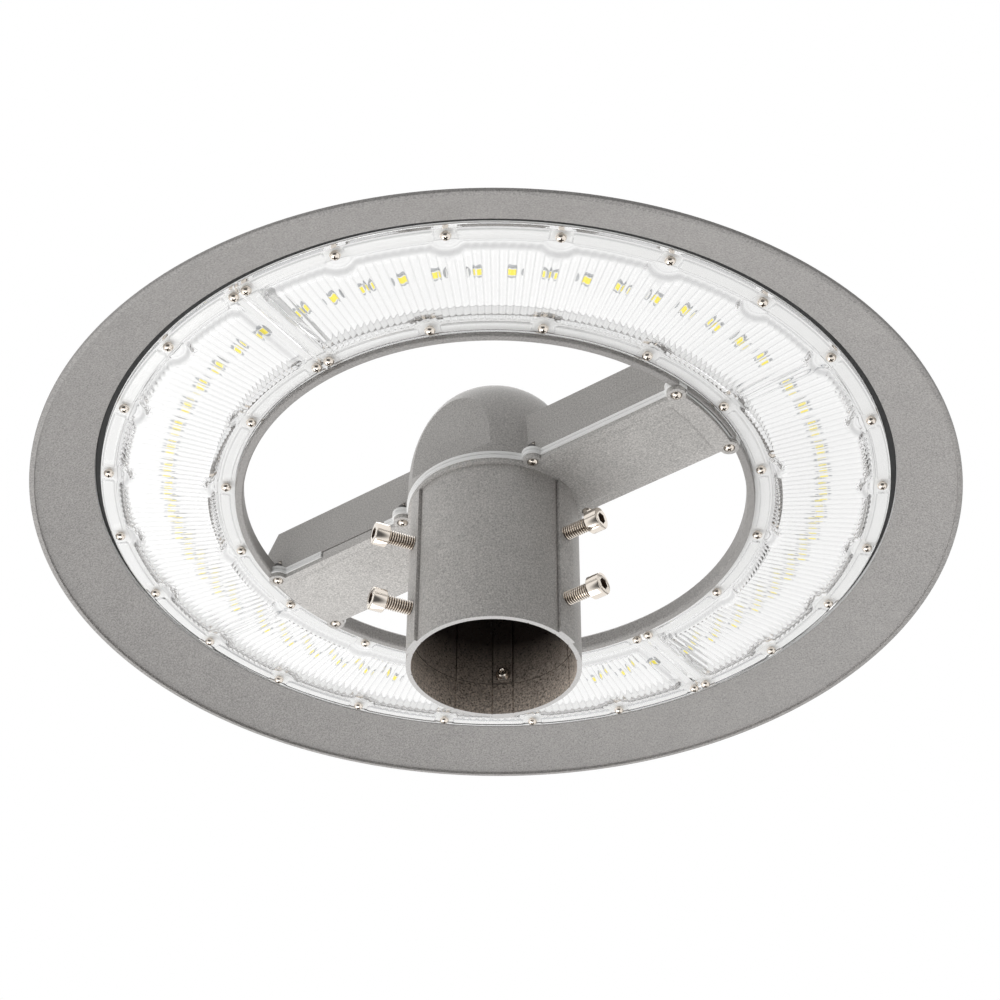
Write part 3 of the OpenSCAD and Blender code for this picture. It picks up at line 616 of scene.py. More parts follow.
def grained(group, name, colour, grain, contrast, relief, roughness, metallic=0.0):
    """A material with the surface grain, whose grain size and relief are given in millimetres."""
    material, tree, shader = new_material(name)
    effect = tree.add("ShaderNodeGroup", {"node_tree": group}, Colour=colour, Grain_size=grain * MM,
                      Contrast=contrast, Relief=relief * MM, Roughness=roughness)
    tree.links.new(effect.outputs["Colour"], shader.inputs["Base Color"])
    tree.links.new(effect.outputs["Roughness"], shader.inputs["Roughness"])
    tree.links.new(effect.outputs["Normal"], shader.inputs["Normal"])
    shader.inputs["Metallic"].default_value = metallic
    return material


def blended(tree, share, first, second):
    """The colour between two colours that a share picks."""
    mix = tree.add("ShaderNodeMix", {"data_type": "RGBA"})
    tree.links.new(share, mix.inputs[0])
    colours = [socket for socket in mix.inputs if socket.type == "RGBA"]
    colours[0].default_value, colours[1].default_value = first, second
    return next(socket for socket in mix.outputs if socket.type == "RGBA")


def paint_depth_shade(material, below, above, start, end):
    """Paints shade into a grained material: darker from one height to another."""
    tree = Tree(material.node_tree)
    height = tree.add("ShaderNodeSeparateXYZ", Vector=tree.place()).outputs["Z"]
    effect = next(node for node in tree.nodes if node.type == "GROUP")
    share = tree.ramp(height, (start, end))
    tree.links.new(blended(tree, share, below, above), effect.inputs["Colour"])


def clear_plastic(colour, painted_shade_colour):
    """Clear lens plastic, greyer at its steps with painted shade. Lamp light and rays trapped in it pass
    straight.
    """
    material, tree, shader = new_material("Clear plastic")
    shade = tree.add("ShaderNodeAttribute", {"attribute_name": EDGE_SHADE})
    tree.links.new(blended(tree, shade.outputs["Fac"], colour, painted_shade_colour), shader.inputs["Base Color"])
    shader.inputs["Roughness"].default_value = 0.05
    shader.inputs["IOR"].default_value = 1.38
    shader.inputs["Transmission Weight"].default_value = 1.0
    ripple = tree.add("ShaderNodeTexNoise", Vector=tree.place(), Scale=90.0, Detail=2.0)
    bump = tree.add("ShaderNodeBump", Height=ripple.outputs["Fac"], Distance=0.02 * MM)
    tree.links.new(bump.outputs["Normal"], shader.inputs["Normal"])
    light = tree.add("ShaderNodeLightPath").outputs
    trapped = tree.calc("GREATER_THAN", light["Ray Depth"], TRAPPED_DEPTH)
    straight = tree.calc("MAXIMUM", light["Is Shadow Ray"], trapped)
    through = tree.add("ShaderNodeBsdfTransparent", Color=(1, 1, 1, 1))
    tree.mix_surface(tree.calc("MAXIMUM", straight, light["Is Diffuse Ray"]), shader, through)
    return material


def make_materials(scene):
    """Every finish of the light, by name."""
    colours = scene.park_light_finishes
    # Label, colour, grain in mm, contrast, relief in mm, roughness and, where it isn't 0, metallic
    rows = {
        "coat": ("Powder coat", colours.coat, 0.9, 0.45, 0.08, 0.55),
        # The bridge and tube coats are the ring's coat painted lighter, as painted light
        "bridge_coat_painted_light": ("Bridge coat, painted lighter", colours.bridge_coat_painted_light, 0.9, 0.45, 0.08, 0.55),
        "tube_coat": ("Tube coat, painted lighter", colours.tube_coat, 0.9, 0.45, 0.08, 0.55),
        "seal": ("Silicone", colours.seal, 0.6, 0.03, 0.02, 0.5),
        "nickel": ("Nickel plating", colours.nickel, 0.4, 0.06, 0.002, 0.10, 1.0),
        "board": ("White mask", colours.board, 1.2, 0.02, 0.01, 0.45),
        "phosphor": ("Phosphor", colours.phosphor, 0.3, 0.06, 0.02, 0.5),
        "package": ("Chip package", (0.82, 0.82, 0.80, 1), 0.5, 0.03, 0.01, 0.4),
        # The tinned plate's grey is partly painted shade round each chip
        "solder_and_shade": ("Tinned plate and painted shade", (0.42, 0.43, 0.44, 1), 0.4, 0.08, 0.01, 0.4),
        # Painted shade for the screws' cross recesses, hexagon sockets and thread roots
        "grime": ("Painted recess shade", (0.13, 0.09, 0.065, 1), 0.3, 0.3, 0.01, 0.4, 0.3),
        # Painted shade for the screw bosses above the cover's lugs
        "shaded_boss": ("Screw boss, painted shade", (0.11, 0.107, 0.103, 1), 0.8, 0.3, 0.03, 0.6),
        "cut_edge": ("Bare cut edge", (0.50, 0.49, 0.48, 1), 0.8, 0.2, 0.02, 0.4),
        # Painted shade: the bore darkens with depth
        "bore": ("Dark bore", (0.2, 0.2, 0.2, 1), 1.1, 0.9, 0.08, 0.6),
        # Painted shade on the downward ledges inside the bore
        "ledge": ("Bore ledge", (0.07, 0.058, 0.048, 1), 1.1, 0.5, 0.05, 0.7),
        "pad": ("Heat pad", (0.45, 0.47, 0.50, 1), 0.8, 0.08, 0.02, 0.8),
        "driver": ("Driver case", (0.78, 0.78, 0.76, 1), 0.7, 0.04, 0.03, 0.5),
        "zinc": ("Zinc plating", (0.62, 0.64, 0.66, 1), 0.5, 0.10, 0.01, 0.3, 1.0),
        "brass": ("Brass", (0.72, 0.52, 0.22, 1), 0.5, 0.08, 0.01, 0.3, 1.0),
        "terminal": ("Terminal plastic", (0.75, 0.74, 0.68, 1), 0.6, 0.04, 0.02, 0.5),
        "surge": ("Surge case", (0.06, 0.14, 0.40, 1), 0.6, 0.06, 0.02, 0.45),
        "supply_wire": ("Brown insulation", (0.18, 0.08, 0.03, 1), 0.5, 0.06, 0.01, 0.4),
        "board_wire": ("White insulation", (0.8, 0.8, 0.78, 1), 0.5, 0.06, 0.01, 0.4),
        "gland": ("Gland plastic", (0.035, 0.035, 0.038, 1), 0.6, 0.10, 0.03, 0.5),
        "rubber": ("Gland rubber", (0.02, 0.02, 0.02, 1), 0.5, 0.10, 0.02, 0.75),
    }
    group = make_grain()
    finishes = {finish: grained(group, *row) for finish, row in rows.items()}
    # Painted shade: the bore grows darker from near its mouth to deep inside
    paint_depth_shade(finishes["bore"], below=(0.52, 0.45, 0.39, 1), above=(0.018, 0.012, 0.009, 1), start=2 * MM,
          end=48 * MM)
    finishes["lens"] = clear_plastic(colours.lens, painted_shade_colour=(0.30, 0.30, 0.31, 1))
    return finishes


# Every finish by name, made by main
MATERIALS = {}

# Which carried-over CAD nodes get which finish
NODE_FINISHES = {
    "nickel": ("socket_screws",),
    "seal": ("lens_seal_right", "lens_seal_left"),
    "board": ("light_board_rear_right", "light_board_rear_left", "light_board_front_left",
              "light_board_front_right"),
    "pad": ("heat_pads",),
    "driver": ("driver_right", "driver_left"),
    "zinc": ("driver_screws", "earth_screw"),
    "terminal": ("terminal_block",),
    "surge": ("surge_protector",),
    "supply_wire": ("supply_leads",),
    "board_wire": ("board_leads",),
    "gland": ("cable_gland", "gland_nut", "breather_vent"),
    "rubber": ("gland_washer",),
    "brass": ("earth_lug",),
}


# Places that repeat


def end_angle(radius, offset):
    """Angle at which a circle comes within an offset of the joint plane."""
    return math.acos(offset / radius)


def outer_angles(sizes):
    """Angles of the outer screws on the right lens."""
    count = round(HALF_TURN / sizes.outer_step) - 1
    end = end_angle(sizes.outer_circle, sizes.end_offset)
    return [-end, end] + [-HALF_TURN / 2 + (i + 1) * sizes.outer_step for i in range(count)]


def inner_angles(sizes):
    """Angles of the inner screws on the right lens."""
    end = end_angle(sizes.inner_circle, sizes.end_offset)
    reach = int((HALF_TURN / 2) // sizes.inner_step)
    if reach * sizes.inner_step > end - sizes.inner_step / 2:
        reach -= 1
    return [-end, end] + [i * sizes.inner_step for i in range(-reach, reach + 1)]


def on_circle(radius, angle):
    """Point of a circle about the origin."""
    return Vector((radius * math.cos(angle), radius * math.sin(angle), 0))


# Pieces


def canopy_profile(sizes):
    """Section of the ring from the hole's edge over the crest to the rim and back along the underside."""
    inner, edge, slope, drip = sizes.hole_radius, sizes.rim_rounding, sizes.recess_slope, sizes.drip_outer
    width, height = RIM_RADIUS - inner, high("canopy_ring").z - RIM_UNDER
    top = smooth_through([(inner + x * width, RIM_UNDER + z * height) for x, z in CANOPY_TOP_SHARES], 4)
    rim_inner = RIM_RADIUS - edge - sizes.rim_width
    rim = [(RIM_RADIUS, RIM_UNDER + edge), (RIM_RADIUS - 0.3 * edge, RIM_UNDER + 0.3 * edge),
           (RIM_RADIUS - edge, RIM_UNDER), (rim_inner, RIM_UNDER),
           (rim_inner - 0.3 * edge, RIM_UNDER + sizes.rim_step)]
    # A rounded lip, 0.8 mm wide and 1.5 mm high, beside the drip groove
    groove = [(drip + 0.8 * MM, LAND - 1.5 * MM), (drip + 0.2 * MM, LAND - 1.35 * MM), (drip, LAND - MM),
              (drip, GROOVE_TOP), (LENS_OUTER, GROOVE_TOP)]
    near, far = sizes.recess_inner - sizes.groove_margin, sizes.recess_outer + sizes.groove_margin
    land = [(far, GROOVE_TOP), (far, LAND), (sizes.recess_outer, LAND),
            (sizes.recess_outer - slope, BOARD_UNDER), (sizes.recess_outer - slope, RECESS_TOP),
            (sizes.recess_inner + slope, RECESS_TOP), (sizes.recess_inner + slope, BOARD_UNDER),
            (sizes.recess_inner, LAND), (near, LAND), (near, GROOVE_TOP),
            (sizes.groove_inner, GROOVE_TOP), (sizes.groove_inner, LAND)]
    lip_outer, lip_under = inner + sizes.lip_width, LAND - sizes.lip_drop
    lip = [(lip_outer, LAND), (lip_outer, lip_under + edge / 2), (lip_outer - edge / 2, lip_under),
           (inner + edge, lip_under), (inner, lip_under + edge)]
    return top + rim + groove + land + lip + [top[0]]


class PARKLIGHT_OT_canopy_ring(bpy.types.Operator):
    """Turns the cast ring and cuts the pocket for the arms"""

    bl_idname = "park_light.canopy_ring"
    bl_label = "Canopy ring"

    def execute(self, context):
        sizes = context.scene.park_light_ring

        def choose(middle, radius, normal):
            # Faces behind the lens take the boards' white: painted light on the grey casting round the
            # boards. The drip groove's outer wall takes it too, as painted light on a wall in shade
            in_recess = (sizes.groove_inner < radius < LENS_OUTER - 2 * MM
                         and LAND - NEAR / 2 < middle.z < RECESS_TOP + NEAR)
            on_groove_top = LENS_OUTER < radius < sizes.drip_outer and abs(middle.z - GROOVE_TOP) < NEAR
            on_groove_wall = abs(radius - sizes.drip_outer) < NEAR and middle.z > LAND - 0.9 * MM
            # The groove's top takes black rubber as painted shade in the gap beside the lens
            if on_groove_top and not in_recess:
                return "rubber"
            return "board" if in_recess or on_groove_wall else "coat"

        ring = turned(canopy_profile(sizes), RING_STEPS)
        combine(ring, arm_pocket(), "DIFFERENCE")
        for side in SIDES:
            combine(ring, joint_web(sizes, side), "UNION")
        paint(ring, ("coat", "board", "rubber"), choose)
        finish_piece(ring, "canopy_ring_casting", nodes=["canopy_ring"], smooth=28)
        return {"FINISHED"}


def arm_pocket():
    """Cutter for the place where the cover and the seal pass under the ring's lip."""
    deselect()
    middle = (0, 0, POCKET_MIDDLE)
    bpy.ops.mesh.primitive_cylinder_add(
        vertices=RING_STEPS, radius=high("bridge_cover").x + POCKET_PLAY, depth=POCKET_HEIGHT + 4 * MM,
        location=middle)
    disc = bpy.context.object
    bar = block((2 * RIM_RADIUS, 2 * (ARM_HALF_WIDTH + POCKET_PLAY), POCKET_HEIGHT), middle)
    combine(bar, disc, "INTERSECT")
    return bar


def joint_web(sizes, side):
    """Web across the recess at one lens joint."""
    width = sizes.recess_outer - sizes.recess_inner
    radius = (sizes.recess_outer + sizes.recess_inner) / 2
    foot, top = GROOVE_TOP, RECESS_TOP + MM
    return block((2 * sizes.web, width + MM, top - foot), (0, side * radius, (foot + top) / 2))


class PARKLIGHT_OT_bridge(bpy.types.Operator):
    """Makes the cast bridge with its hub, the cover plate and the seal between them"""

    bl_idname = "park_light.bridge"
    bl_label = "Bridge, cover and seal"

    def execute(self, context):
        # The housing and the cover take lighter copies of the coat, as painted light
        housing = copy_of("bridge_housing")
        soften(housing, 0.8 * MM, 3)
        finish_piece(housing, "bridge_housing_casting", ["bridge_coat_painted_light"],
                     nodes=["bridge_housing"], smooth=15)
        cover = copy_of("bridge_cover")
        slope_panels(cover)
        combine(cover, seal_guard(), "UNION")
        soften(cover, 0.5 * MM, 3)
        finish_piece(cover, "bridge_cover_plate", ["tube_coat"], nodes=["bridge_cover"])
        seal = copy_of("bridge_seal")
        combine(seal, seal_tuck(), "DIFFERENCE")
        groove_seal(seal)
        soften(seal, 0.25 * MM, 2)
        finish_piece(seal, "bridge_seal_ring", ["seal"], nodes=["bridge_seal"])
        return {"FINISHED"}


def slope_panels(cover):
    """Gives the cover's raised panels long soft edges."""
    panel_under, slope, step = low("bridge_cover").z, 1.3 * MM, 0.06 * MM
    select_faces(cover, lambda face: face.center.z < panel_under + NEAR / 2 and face.normal.z < -0.9)
    bpy.ops.mesh.inset(thickness=slope, depth=0)
    leave_edit()
    kept = {v for face in cover.data.polygons if face.select for v in face.vertices}
    for point in cover.data.vertices:
        if point.co.z < panel_under + NEAR / 2 and point.index not in kept:
            point.co.z = COVER_UNDER - step


def seal_tuck():
    """Cutter for the stretch of the left arm where the seal stands back from the cover's edge."""
    depth = 3.2 * MM
    return block((TUCK_LENGTH, 2 * depth, SEAL_TOP - SEAL_UNDER + MM),
                 (TUCK_PLACE, -ARM_HALF_WIDTH, SEAL_MIDDLE))


def seal_guard():
    """The cover's upturned edge before that stretch, which leaves a narrow slot above it."""
    thickness, foot, top = 1.4 * MM, SEAL_UNDER - 0.5 * MM, SEAL_TOP - 0.9 * MM
    return block((TUCK_LENGTH - 2 * MM, thickness, top - foot),
                 (TUCK_PLACE, thickness / 2 - ARM_HALF_WIDTH, (foot + top) / 2))


def groove_seal(seal):
    """Cuts a fine groove along the seal's sides, between two lips."""
    half, depth = 0.3 * MM, 0.6 * MM
    for height in (SEAL_MIDDLE - half, SEAL_MIDDLE + half):
        edit(seal)
        bpy.ops.mesh.bisect(plane_co=(0, 0, height), plane_no=(0, 0, 1))
    select_faces(seal, lambda face: (
        abs(face.center.z - SEAL_MIDDLE) < half / 2 and abs(face.normal.z) < 0.3))
    bpy.ops.mesh.extrude_region_shrink_fatten(TRANSFORM_OT_shrink_fatten={"value": -depth})
    leave_edit()


class PARKLIGHT_OT_pole_socket(bpy.types.Operator):
    """Makes the drawn socket tube with its pads and grooves"""

    bl_idname = "park_light.pole_socket"
    bl_label = "Pole socket"

    def execute(self, context):
        sizes = context.scene.park_light_socket
        wall_middle, mouth_edge, ledge_foot = sizes.bore_radius + 0.8 * MM, 0.5 * MM, 5 * MM

        def choose(middle, radius, normal):
            if middle.z < NEAR and normal.z < -0.9:
                return "cut_edge"
            # Downward ledges deep in the bore take painted shade, and the bore's own finish darkens with
            # depth as painted shade
            if radius < wall_middle and middle.z > ledge_foot and normal.z < -0.2:
                return "ledge"
            return "bore" if radius < wall_middle and middle.z > mouth_edge else "tube_coat"

        tube = copy_of("pole_socket")
        for azimuth in PAD_AZIMUTHS.values():
            for side in SIDES:
                groove = pad_groove(sizes, math.radians(azimuth) + side * sizes.pad_half)
                combine(tube, groove, "DIFFERENCE")
        soften(tube, 0.3 * MM, 2)
        paint(tube, ("tube_coat", "bore", "cut_edge", "ledge"), choose)
        finish_piece(tube, "pole_socket_tube", nodes=["pole_socket"])
        return {"FINISHED"}


def pad_groove(sizes, azimuth):
    """Cutter for the groove along one edge of an outer pad, which ends above the mouth."""
    inner, outer = sizes.tube_radius - sizes.groove_depth, sizes.tube_radius + 4 * MM
    foot, top = sizes.groove_end, COVER_UNDER + MM
    cutter = block((outer - inner, sizes.groove_width, top - foot),
                   ((outer + inner) / 2, 0, (foot + top) / 2))
    cutter.data.transform(Matrix.Rotation(azimuth, 4, "Z"))
    return cutter


class PARKLIGHT_OT_lenses(bpy.types.Operator):
    """Shapes the two fluted lenses"""

    bl_idname = "park_light.lenses"
    bl_label = "Lenses"

    def execute(self, context):
        scene = context.scene
        right = lens_moulding(scene.park_light_lens, scene.park_light_screws)
        left = placed_copy(right, Matrix.Rotation(HALF_TURN, 4, "Z"))
        for name, lens in (("right", right), ("left", left)):
            finish_piece(lens, f"lens_{name}_moulding", ["lens"], nodes=[f"lens_{name}"],
                         smooth=50)
        return {"FINISHED"}


def spaced(start, end, step):
    """Even places from start up to, but without, end."""
    count = max(1, round((end - start) / step))
    return [start + (end - start) * i / count for i in range(count)]


def lens_radii(sizes, reach, fine, coarse):
    """Radii of the rings of points on one side of a lens, closer together near its screws and edges."""
    inner, outer, edge = sizes.inner, LENS_OUTER, sizes.edge
    near, far = sizes.foot_inner + reach, sizes.foot_outer - reach - 2 * MM
    rounded = [0, 0.15 * edge, 0.5 * edge]
    first = [inner + step for step in rounded] + spaced(inner + edge, near, fine)
    last = spaced(far, outer - edge, fine) + [outer - edge] + [outer - step for step in reversed(rounded)]
    return first + spaced(near, far, coarse) + last


def soft_ramp(t, ease=0.16):
    """0 below 0 and 1 above 1, with a straight rise between them whose ends are rounded."""
    t = np.clip(t, -ease, 1 + ease)
    risen = np.where(t < ease, (t + ease) ** 2 / (4 * ease), t)
    return np.where(t > 1 - ease, 1 - (1 + ease - t) ** 2 / (4 * ease), risen)


def screw_distance(x, y, circle, angles):
    """Distance of each point from the nearest screw of a circle."""
    return np.min([np.hypot(x - circle * math.cos(a), y - circle * math.sin(a)) for a in angles], axis=0)


def rounded_strip(across, along, corner):
    """Distance inside a strip from its sides and its ends, with rounded corners."""
    return corner - np.hypot(np.maximum(corner - across, 0), np.maximum(corner - along, 0))


def lens_moulding(sizes, screws):
    """The right lens as a closed shell with its fluted outside, its plain inside and its two end faces."""
    flange, top = LAND - sizes.flange, LAND - sizes.seat_gap
    outside = lens_radii(sizes, *OUTSIDE_RINGS)
    inside = lens_radii(sizes, *INSIDE_RINGS)
    section = [(r, flange) for r in outside] + [(r, top) for r in reversed(inside)]
    lens = turned(section + section[:1], sizes.flutes * FLUTE_STEPS, HALF_TURN, -HALF_TURN / 2)
    points = mesh_points(lens)
    is_inside = points[:, 2] > (flange + top) / 2
    r, turn = np.hypot(points[:, 0], points[:, 1]), np.arctan2(points[:, 1], points[:, 0])
    angle = turn * (1 - np.arcsin(sizes.joint / r) / (HALF_TURN / 2))
    x, y = r * np.cos(angle), r * np.sin(angle)
    valley = 1 - np.abs(np.cos(turn * sizes.flutes))
    away_outer = screw_distance(x, y, screws.outer_circle, outer_angles(screws))
    away_inner = screw_distance(x, y, screws.inner_circle, inner_angles(screws))

    def body(shrink, scallop):
        """How far each point lies inside the raised body: 0 at its foot and 1 on its crown."""
        reach = np.minimum((r - sizes.foot_inner - shrink - scallop) / sizes.slope_inner,
                           (sizes.foot_outer - shrink - scallop - r) / sizes.slope_outer)
        reach = np.minimum(reach, (x - sizes.joint_foot - shrink) / sizes.slope_inner)
        reach = np.minimum(reach, (away_outer - sizes.notch_outer - shrink) / sizes.slope_notch)
        return soft_ramp(np.minimum(reach, (away_inner - sizes.notch_inner - shrink) / sizes.slope_notch))

    pads = np.maximum(
        rounded_strip(np.minimum(r - sizes.pad_outer_from, sizes.pad_outer_to - r),
                      away_outer - sizes.pad_clear, sizes.pad_corner),
        rounded_strip(np.minimum(r - sizes.pad_inner_from, sizes.pad_inner_to - r),
                      away_inner - sizes.pad_clear, sizes.pad_corner))
    edge = np.maximum(sizes.edge - np.minimum(r - sizes.inner, LENS_OUTER - r), 0)
    edge = np.minimum(edge, sizes.edge)
    rounding = sizes.edge - np.sqrt(np.maximum(sizes.edge ** 2 - edge ** 2, 0))
    share = body(0, sizes.scallop * valley)
    below = flange - (flange - LENS_CROWN - sizes.flute_depth * valley) * share
    raised = soft_ramp(pads / sizes.pad_slope)
    below += rounding - sizes.pad_height * raised
    foot = np.minimum.reduce([r - sizes.foot_inner, sizes.foot_outer - r, x - sizes.joint_foot,
                              away_outer - sizes.notch_outer, away_inner - sizes.notch_inner])
    bead = soft_ramp(1 - np.abs(foot + sizes.bead_width) / sizes.bead_width)
    below -= sizes.bead_height * bead
    above = top - rounding - (top - LENS_CROWN - sizes.wall) * body(0.8 * sizes.wall, 0)
    move_points(lens, np.stack([x, y, np.where(is_inside, above, below)], axis=1))
    is_near_hole = r < (sizes.foot_inner + sizes.foot_outer) / 2
    # These greys are painted shade on the body's outline, the pads' edges, the bead, the valleys and the
    # flange
    outline = np.where(is_near_hole, SHADES["hole side"], SHADES["rim side"]) * share * (1 - share)
    shade = np.maximum.reduce([
        outline, SHADES["pads"] * raised * (1 - raised), SHADES["bead"] * bead,
        SHADES["valleys"] * valley ** 3 * share, SHADES["flange"] * (1 - share)])
    shade = np.maximum(shade, SHADES["least"])
    mask = lens.data.attributes.new(EDGE_SHADE, "FLOAT", "POINT")
    mask.data.foreach_set("value", np.where(is_inside, 0, shade))
    return lens


def mesh_points(obj):
    """The points of a mesh as rows of x, y and z."""
    points = np.empty(3 * len(obj.data.vertices))
    obj.data.vertices.foreach_get("co", points)
    return points.reshape(-1, 3)


def move_points(obj, points):
    """Puts the points of a mesh in new places."""
    obj.data.vertices.foreach_set("co", points.ravel())
    obj.data.update()


class PARKLIGHT_OT_small_screws(bpy.types.Operator):
    """Makes the pan-head screws of the lenses and of the cover"""

    bl_idname = "park_light.small_screws"
    bl_label = "Small screws"

    def execute(self, context):
        sizes = context.scene.park_light_screws
        flange = Vector((0, 0, LAND - context.scene.park_light_lens.flange))
        pattern = pan_screw(sizes, sizes.lens_length)
        groups = {
            "outer_lens_screws": (sizes.outer_circle, outer_angles(sizes)),
            "inner_lens_screws": (sizes.inner_circle, inner_angles(sizes)),
        }
        for node, (circle, angles) in groups.items():
            screws = [
                placed_copy(pattern, standing(on_circle(circle, angle + turn) + flange,
                                              angle * LENS_SCREW_SPIN + turn))
                for turn in (0, HALF_TURN) for angle in angles]
            finish_piece(join(screws), node + "_pan", nodes=[node])
        bpy.data.objects.remove(pattern)
        seat = low("cover_screws").z + sizes.head_height
        pattern = pan_screw(sizes, high("cover_screws").z - seat)
        screws, shaded_bosses = [], []
        for side_x in SIDES:
            for side_y in SIDES:
                for x in (sizes.cover_near, sizes.cover_far):
                    place = Vector((side_x * x, side_y * sizes.cover_side, seat))
                    spin = x * COVER_SCREW_SPIN + side_x + side_y
                    screws.append(placed_copy(pattern, standing(place, spin)))
                    shaded_bosses.append(shaded_lug_boss(place.x, place.y))
        finish_piece(join(shaded_bosses + screws), "cover_screws_pan", nodes=["cover_screws"])
        bpy.data.objects.remove(pattern)
        return {"FINISHED"}


def shaded_lug_boss(x, y):
    """The screw boss beside the bridge round one cover screw, above its lug, dark with painted shade."""
    r, foot, top, edge = 2.2 * MM, SEAL_TOP - 0.2 * MM, SEAL_TOP + 5 * MM, 0.5 * MM
    shaded_boss = turned([(0, foot), (r, foot), (r, top - edge), (r - edge, top), (0, top)], BOSS_STEPS)
    shaded_boss.data.transform(Matrix.Translation((x, y + math.copysign(0.9 * MM, y), 0)))
    add_finishes(shaded_boss, ["shaded_boss"])
    return shaded_boss


def pan_screw(sizes, length):
    """A pan-head screw that hangs below the origin, its shank upwards, with a cross recess."""
    r, h, shank = sizes.head / 2, sizes.head_height, sizes.shank / 2
    dome = [(across * r, -tall * h) for across, tall in PAN_HEAD_SHARES]
    screw = turned(dome + [(shank, 0), (shank, length - shank), (0, length)], SCREW_STEPS)
    arm, width, depth, taper = 0.62 * r, 0.36 * r, 0.6 * h, 0.55
    for turn in (0, HALF_TURN / 2):
        slot = block((2 * arm, width, 2 * depth), (0, 0, -h), turn)
        select_faces(slot, lambda face: face.normal.z > 0.5)
        bpy.ops.transform.resize(value=(taper, taper, 1))
        leave_edit()
        combine(screw, slot, "DIFFERENCE")

    # The cross recess takes the dark finish as painted shade
    def choose(middle, radius, normal):
        return "grime" if -0.85 * h < middle.z < -0.2 * h and radius < arm + NEAR / 2 else "nickel"

    paint(screw, ("nickel", "grime"), choose)
    return screw


class PARKLIGHT_OT_clamp_screws(bpy.types.Operator):
    """Makes the six clamp screws with their threads and hexagon sockets"""

    bl_idname = "park_light.clamp_screws"
    bl_label = "Clamp screws"

    def execute(self, context):
        sizes = context.scene.park_light_screws
        seat = high("clamp_screw_right_upper").x - sizes.clamp_head_height
        pattern = clamp_screw(sizes, seat - low("clamp_screw_right_upper").x)
        lay = Matrix.Translation((seat, 0, 0)) @ Matrix.Rotation(HALF_TURN / 2, 4, "Y")
        for place, azimuth in PAD_AZIMUTHS.items():
            for row in ("upper", "lower"):
                node = f"clamp_screw_{place}_{row}"
                height = Vector((0, 0, (low(node).z + high(node).z) / 2))
                screw = placed_copy(pattern, standing(height, math.radians(azimuth)) @ lay)
                finish_piece(screw, node + "_bolt", body=node, nodes=[node])
        bpy.data.objects.remove(pattern)
        return {"FINISHED"}


def clamp_screw(sizes, length):
    """A socket cap screw along Z: its head from 0 upwards and its thread below."""
    r, h, crest = sizes.clamp_head / 2, sizes.clamp_head_height, sizes.clamp / 2
    core = crest - 0.61 * sizes.clamp_pitch
    corner = sizes.clamp_hex / math.sqrt(3)
    rounding, bulge, chamfer = 0.7 * MM, 0.2 * MM, 0.4 * MM
    head = [(0, h), (r - rounding, h), (r - bulge, h - bulge), (r, h - rounding), (r, chamfer),
            (r - chamfer, 0), (core, 0)]
    cup_tip = [(core, 0.7 * MM - length), (core - 0.6 * MM, -length), (0.55 * core, -length),
               (0.5 * core, 0.3 * MM - length), (0, 1.4 * MM - length)]
    bolt = turned(head + cup_tip, CLAMP_STEPS)
    deselect()
    bpy.ops.mesh.primitive_cylinder_add(vertices=6, radius=corner, depth=h, location=(0, 0, h))
    combine(bolt, bpy.context.object, "DIFFERENCE")
    screw = join([bolt, clamp_thread(sizes, length, core)])
    root = core + 0.3 * (crest - core)

    # The thread's roots and the hexagon socket take the dark finish as painted shade
    def choose(middle, radius, normal):
        in_thread = -length + 1.5 * MM < middle.z < -NEAR and radius < root
        in_socket = 0.45 * h < middle.z < h - NEAR / 2 and radius < 0.98 * corner
        return "grime" if in_thread or in_socket else "nickel"

    paint(screw, ("nickel", "grime"), choose)
    return screw


def clamp_thread(sizes, length, core):
    """The helical ridge of a clamp screw's thread."""
    pitch, crest, start = sizes.clamp_pitch, sizes.clamp / 2, -0.2 * MM
    root, half = core - 0.05 * MM, (core + crest) / 2
    ridge = chain([Vector((radius, 0, start - share * pitch)) for radius, share in (
        (root, 0), (half, 0.22), (crest, 0.42), (crest, 0.56), (half, 0.76), (root, 0.98))])
    leave_edit()
    apply_modifier(ridge, "SCREW", angle=FULL_TURN, screw_offset=-pitch, axis="Z", steps=THREAD_STEPS,
                   iterations=int((length - pitch) / pitch), render_steps=THREAD_STEPS,
                   use_merge_vertices=False)
    close_mesh(ridge, False)
    return ridge


class PARKLIGHT_OT_chips(bpy.types.Operator):
    """Makes the light chips with their yellow phosphor"""

    bl_idname = "park_light.chips"
    bl_label = "Light chips"

    def execute(self, context):
        sizes = context.scene.park_light_chips
        pattern = light_chip(sizes)
        quarter = HALF_TURN / 2
        step = (quarter - 2 * sizes.margin) / (sizes.count - 1)
        angles = [board * quarter + sizes.margin + i * step
                  for board in range(4) for i in range(sizes.count)]
        board_under = Vector((0, 0, BOARD_UNDER))
        chips = [placed_copy(pattern, standing(on_circle(sizes.circle, angle) + board_under, angle))
                 for angle in angles]
        finish_piece(join(chips), "light_chip_set", nodes=["light_chips"])
        bpy.data.objects.remove(pattern)
        return {"FINISHED"}


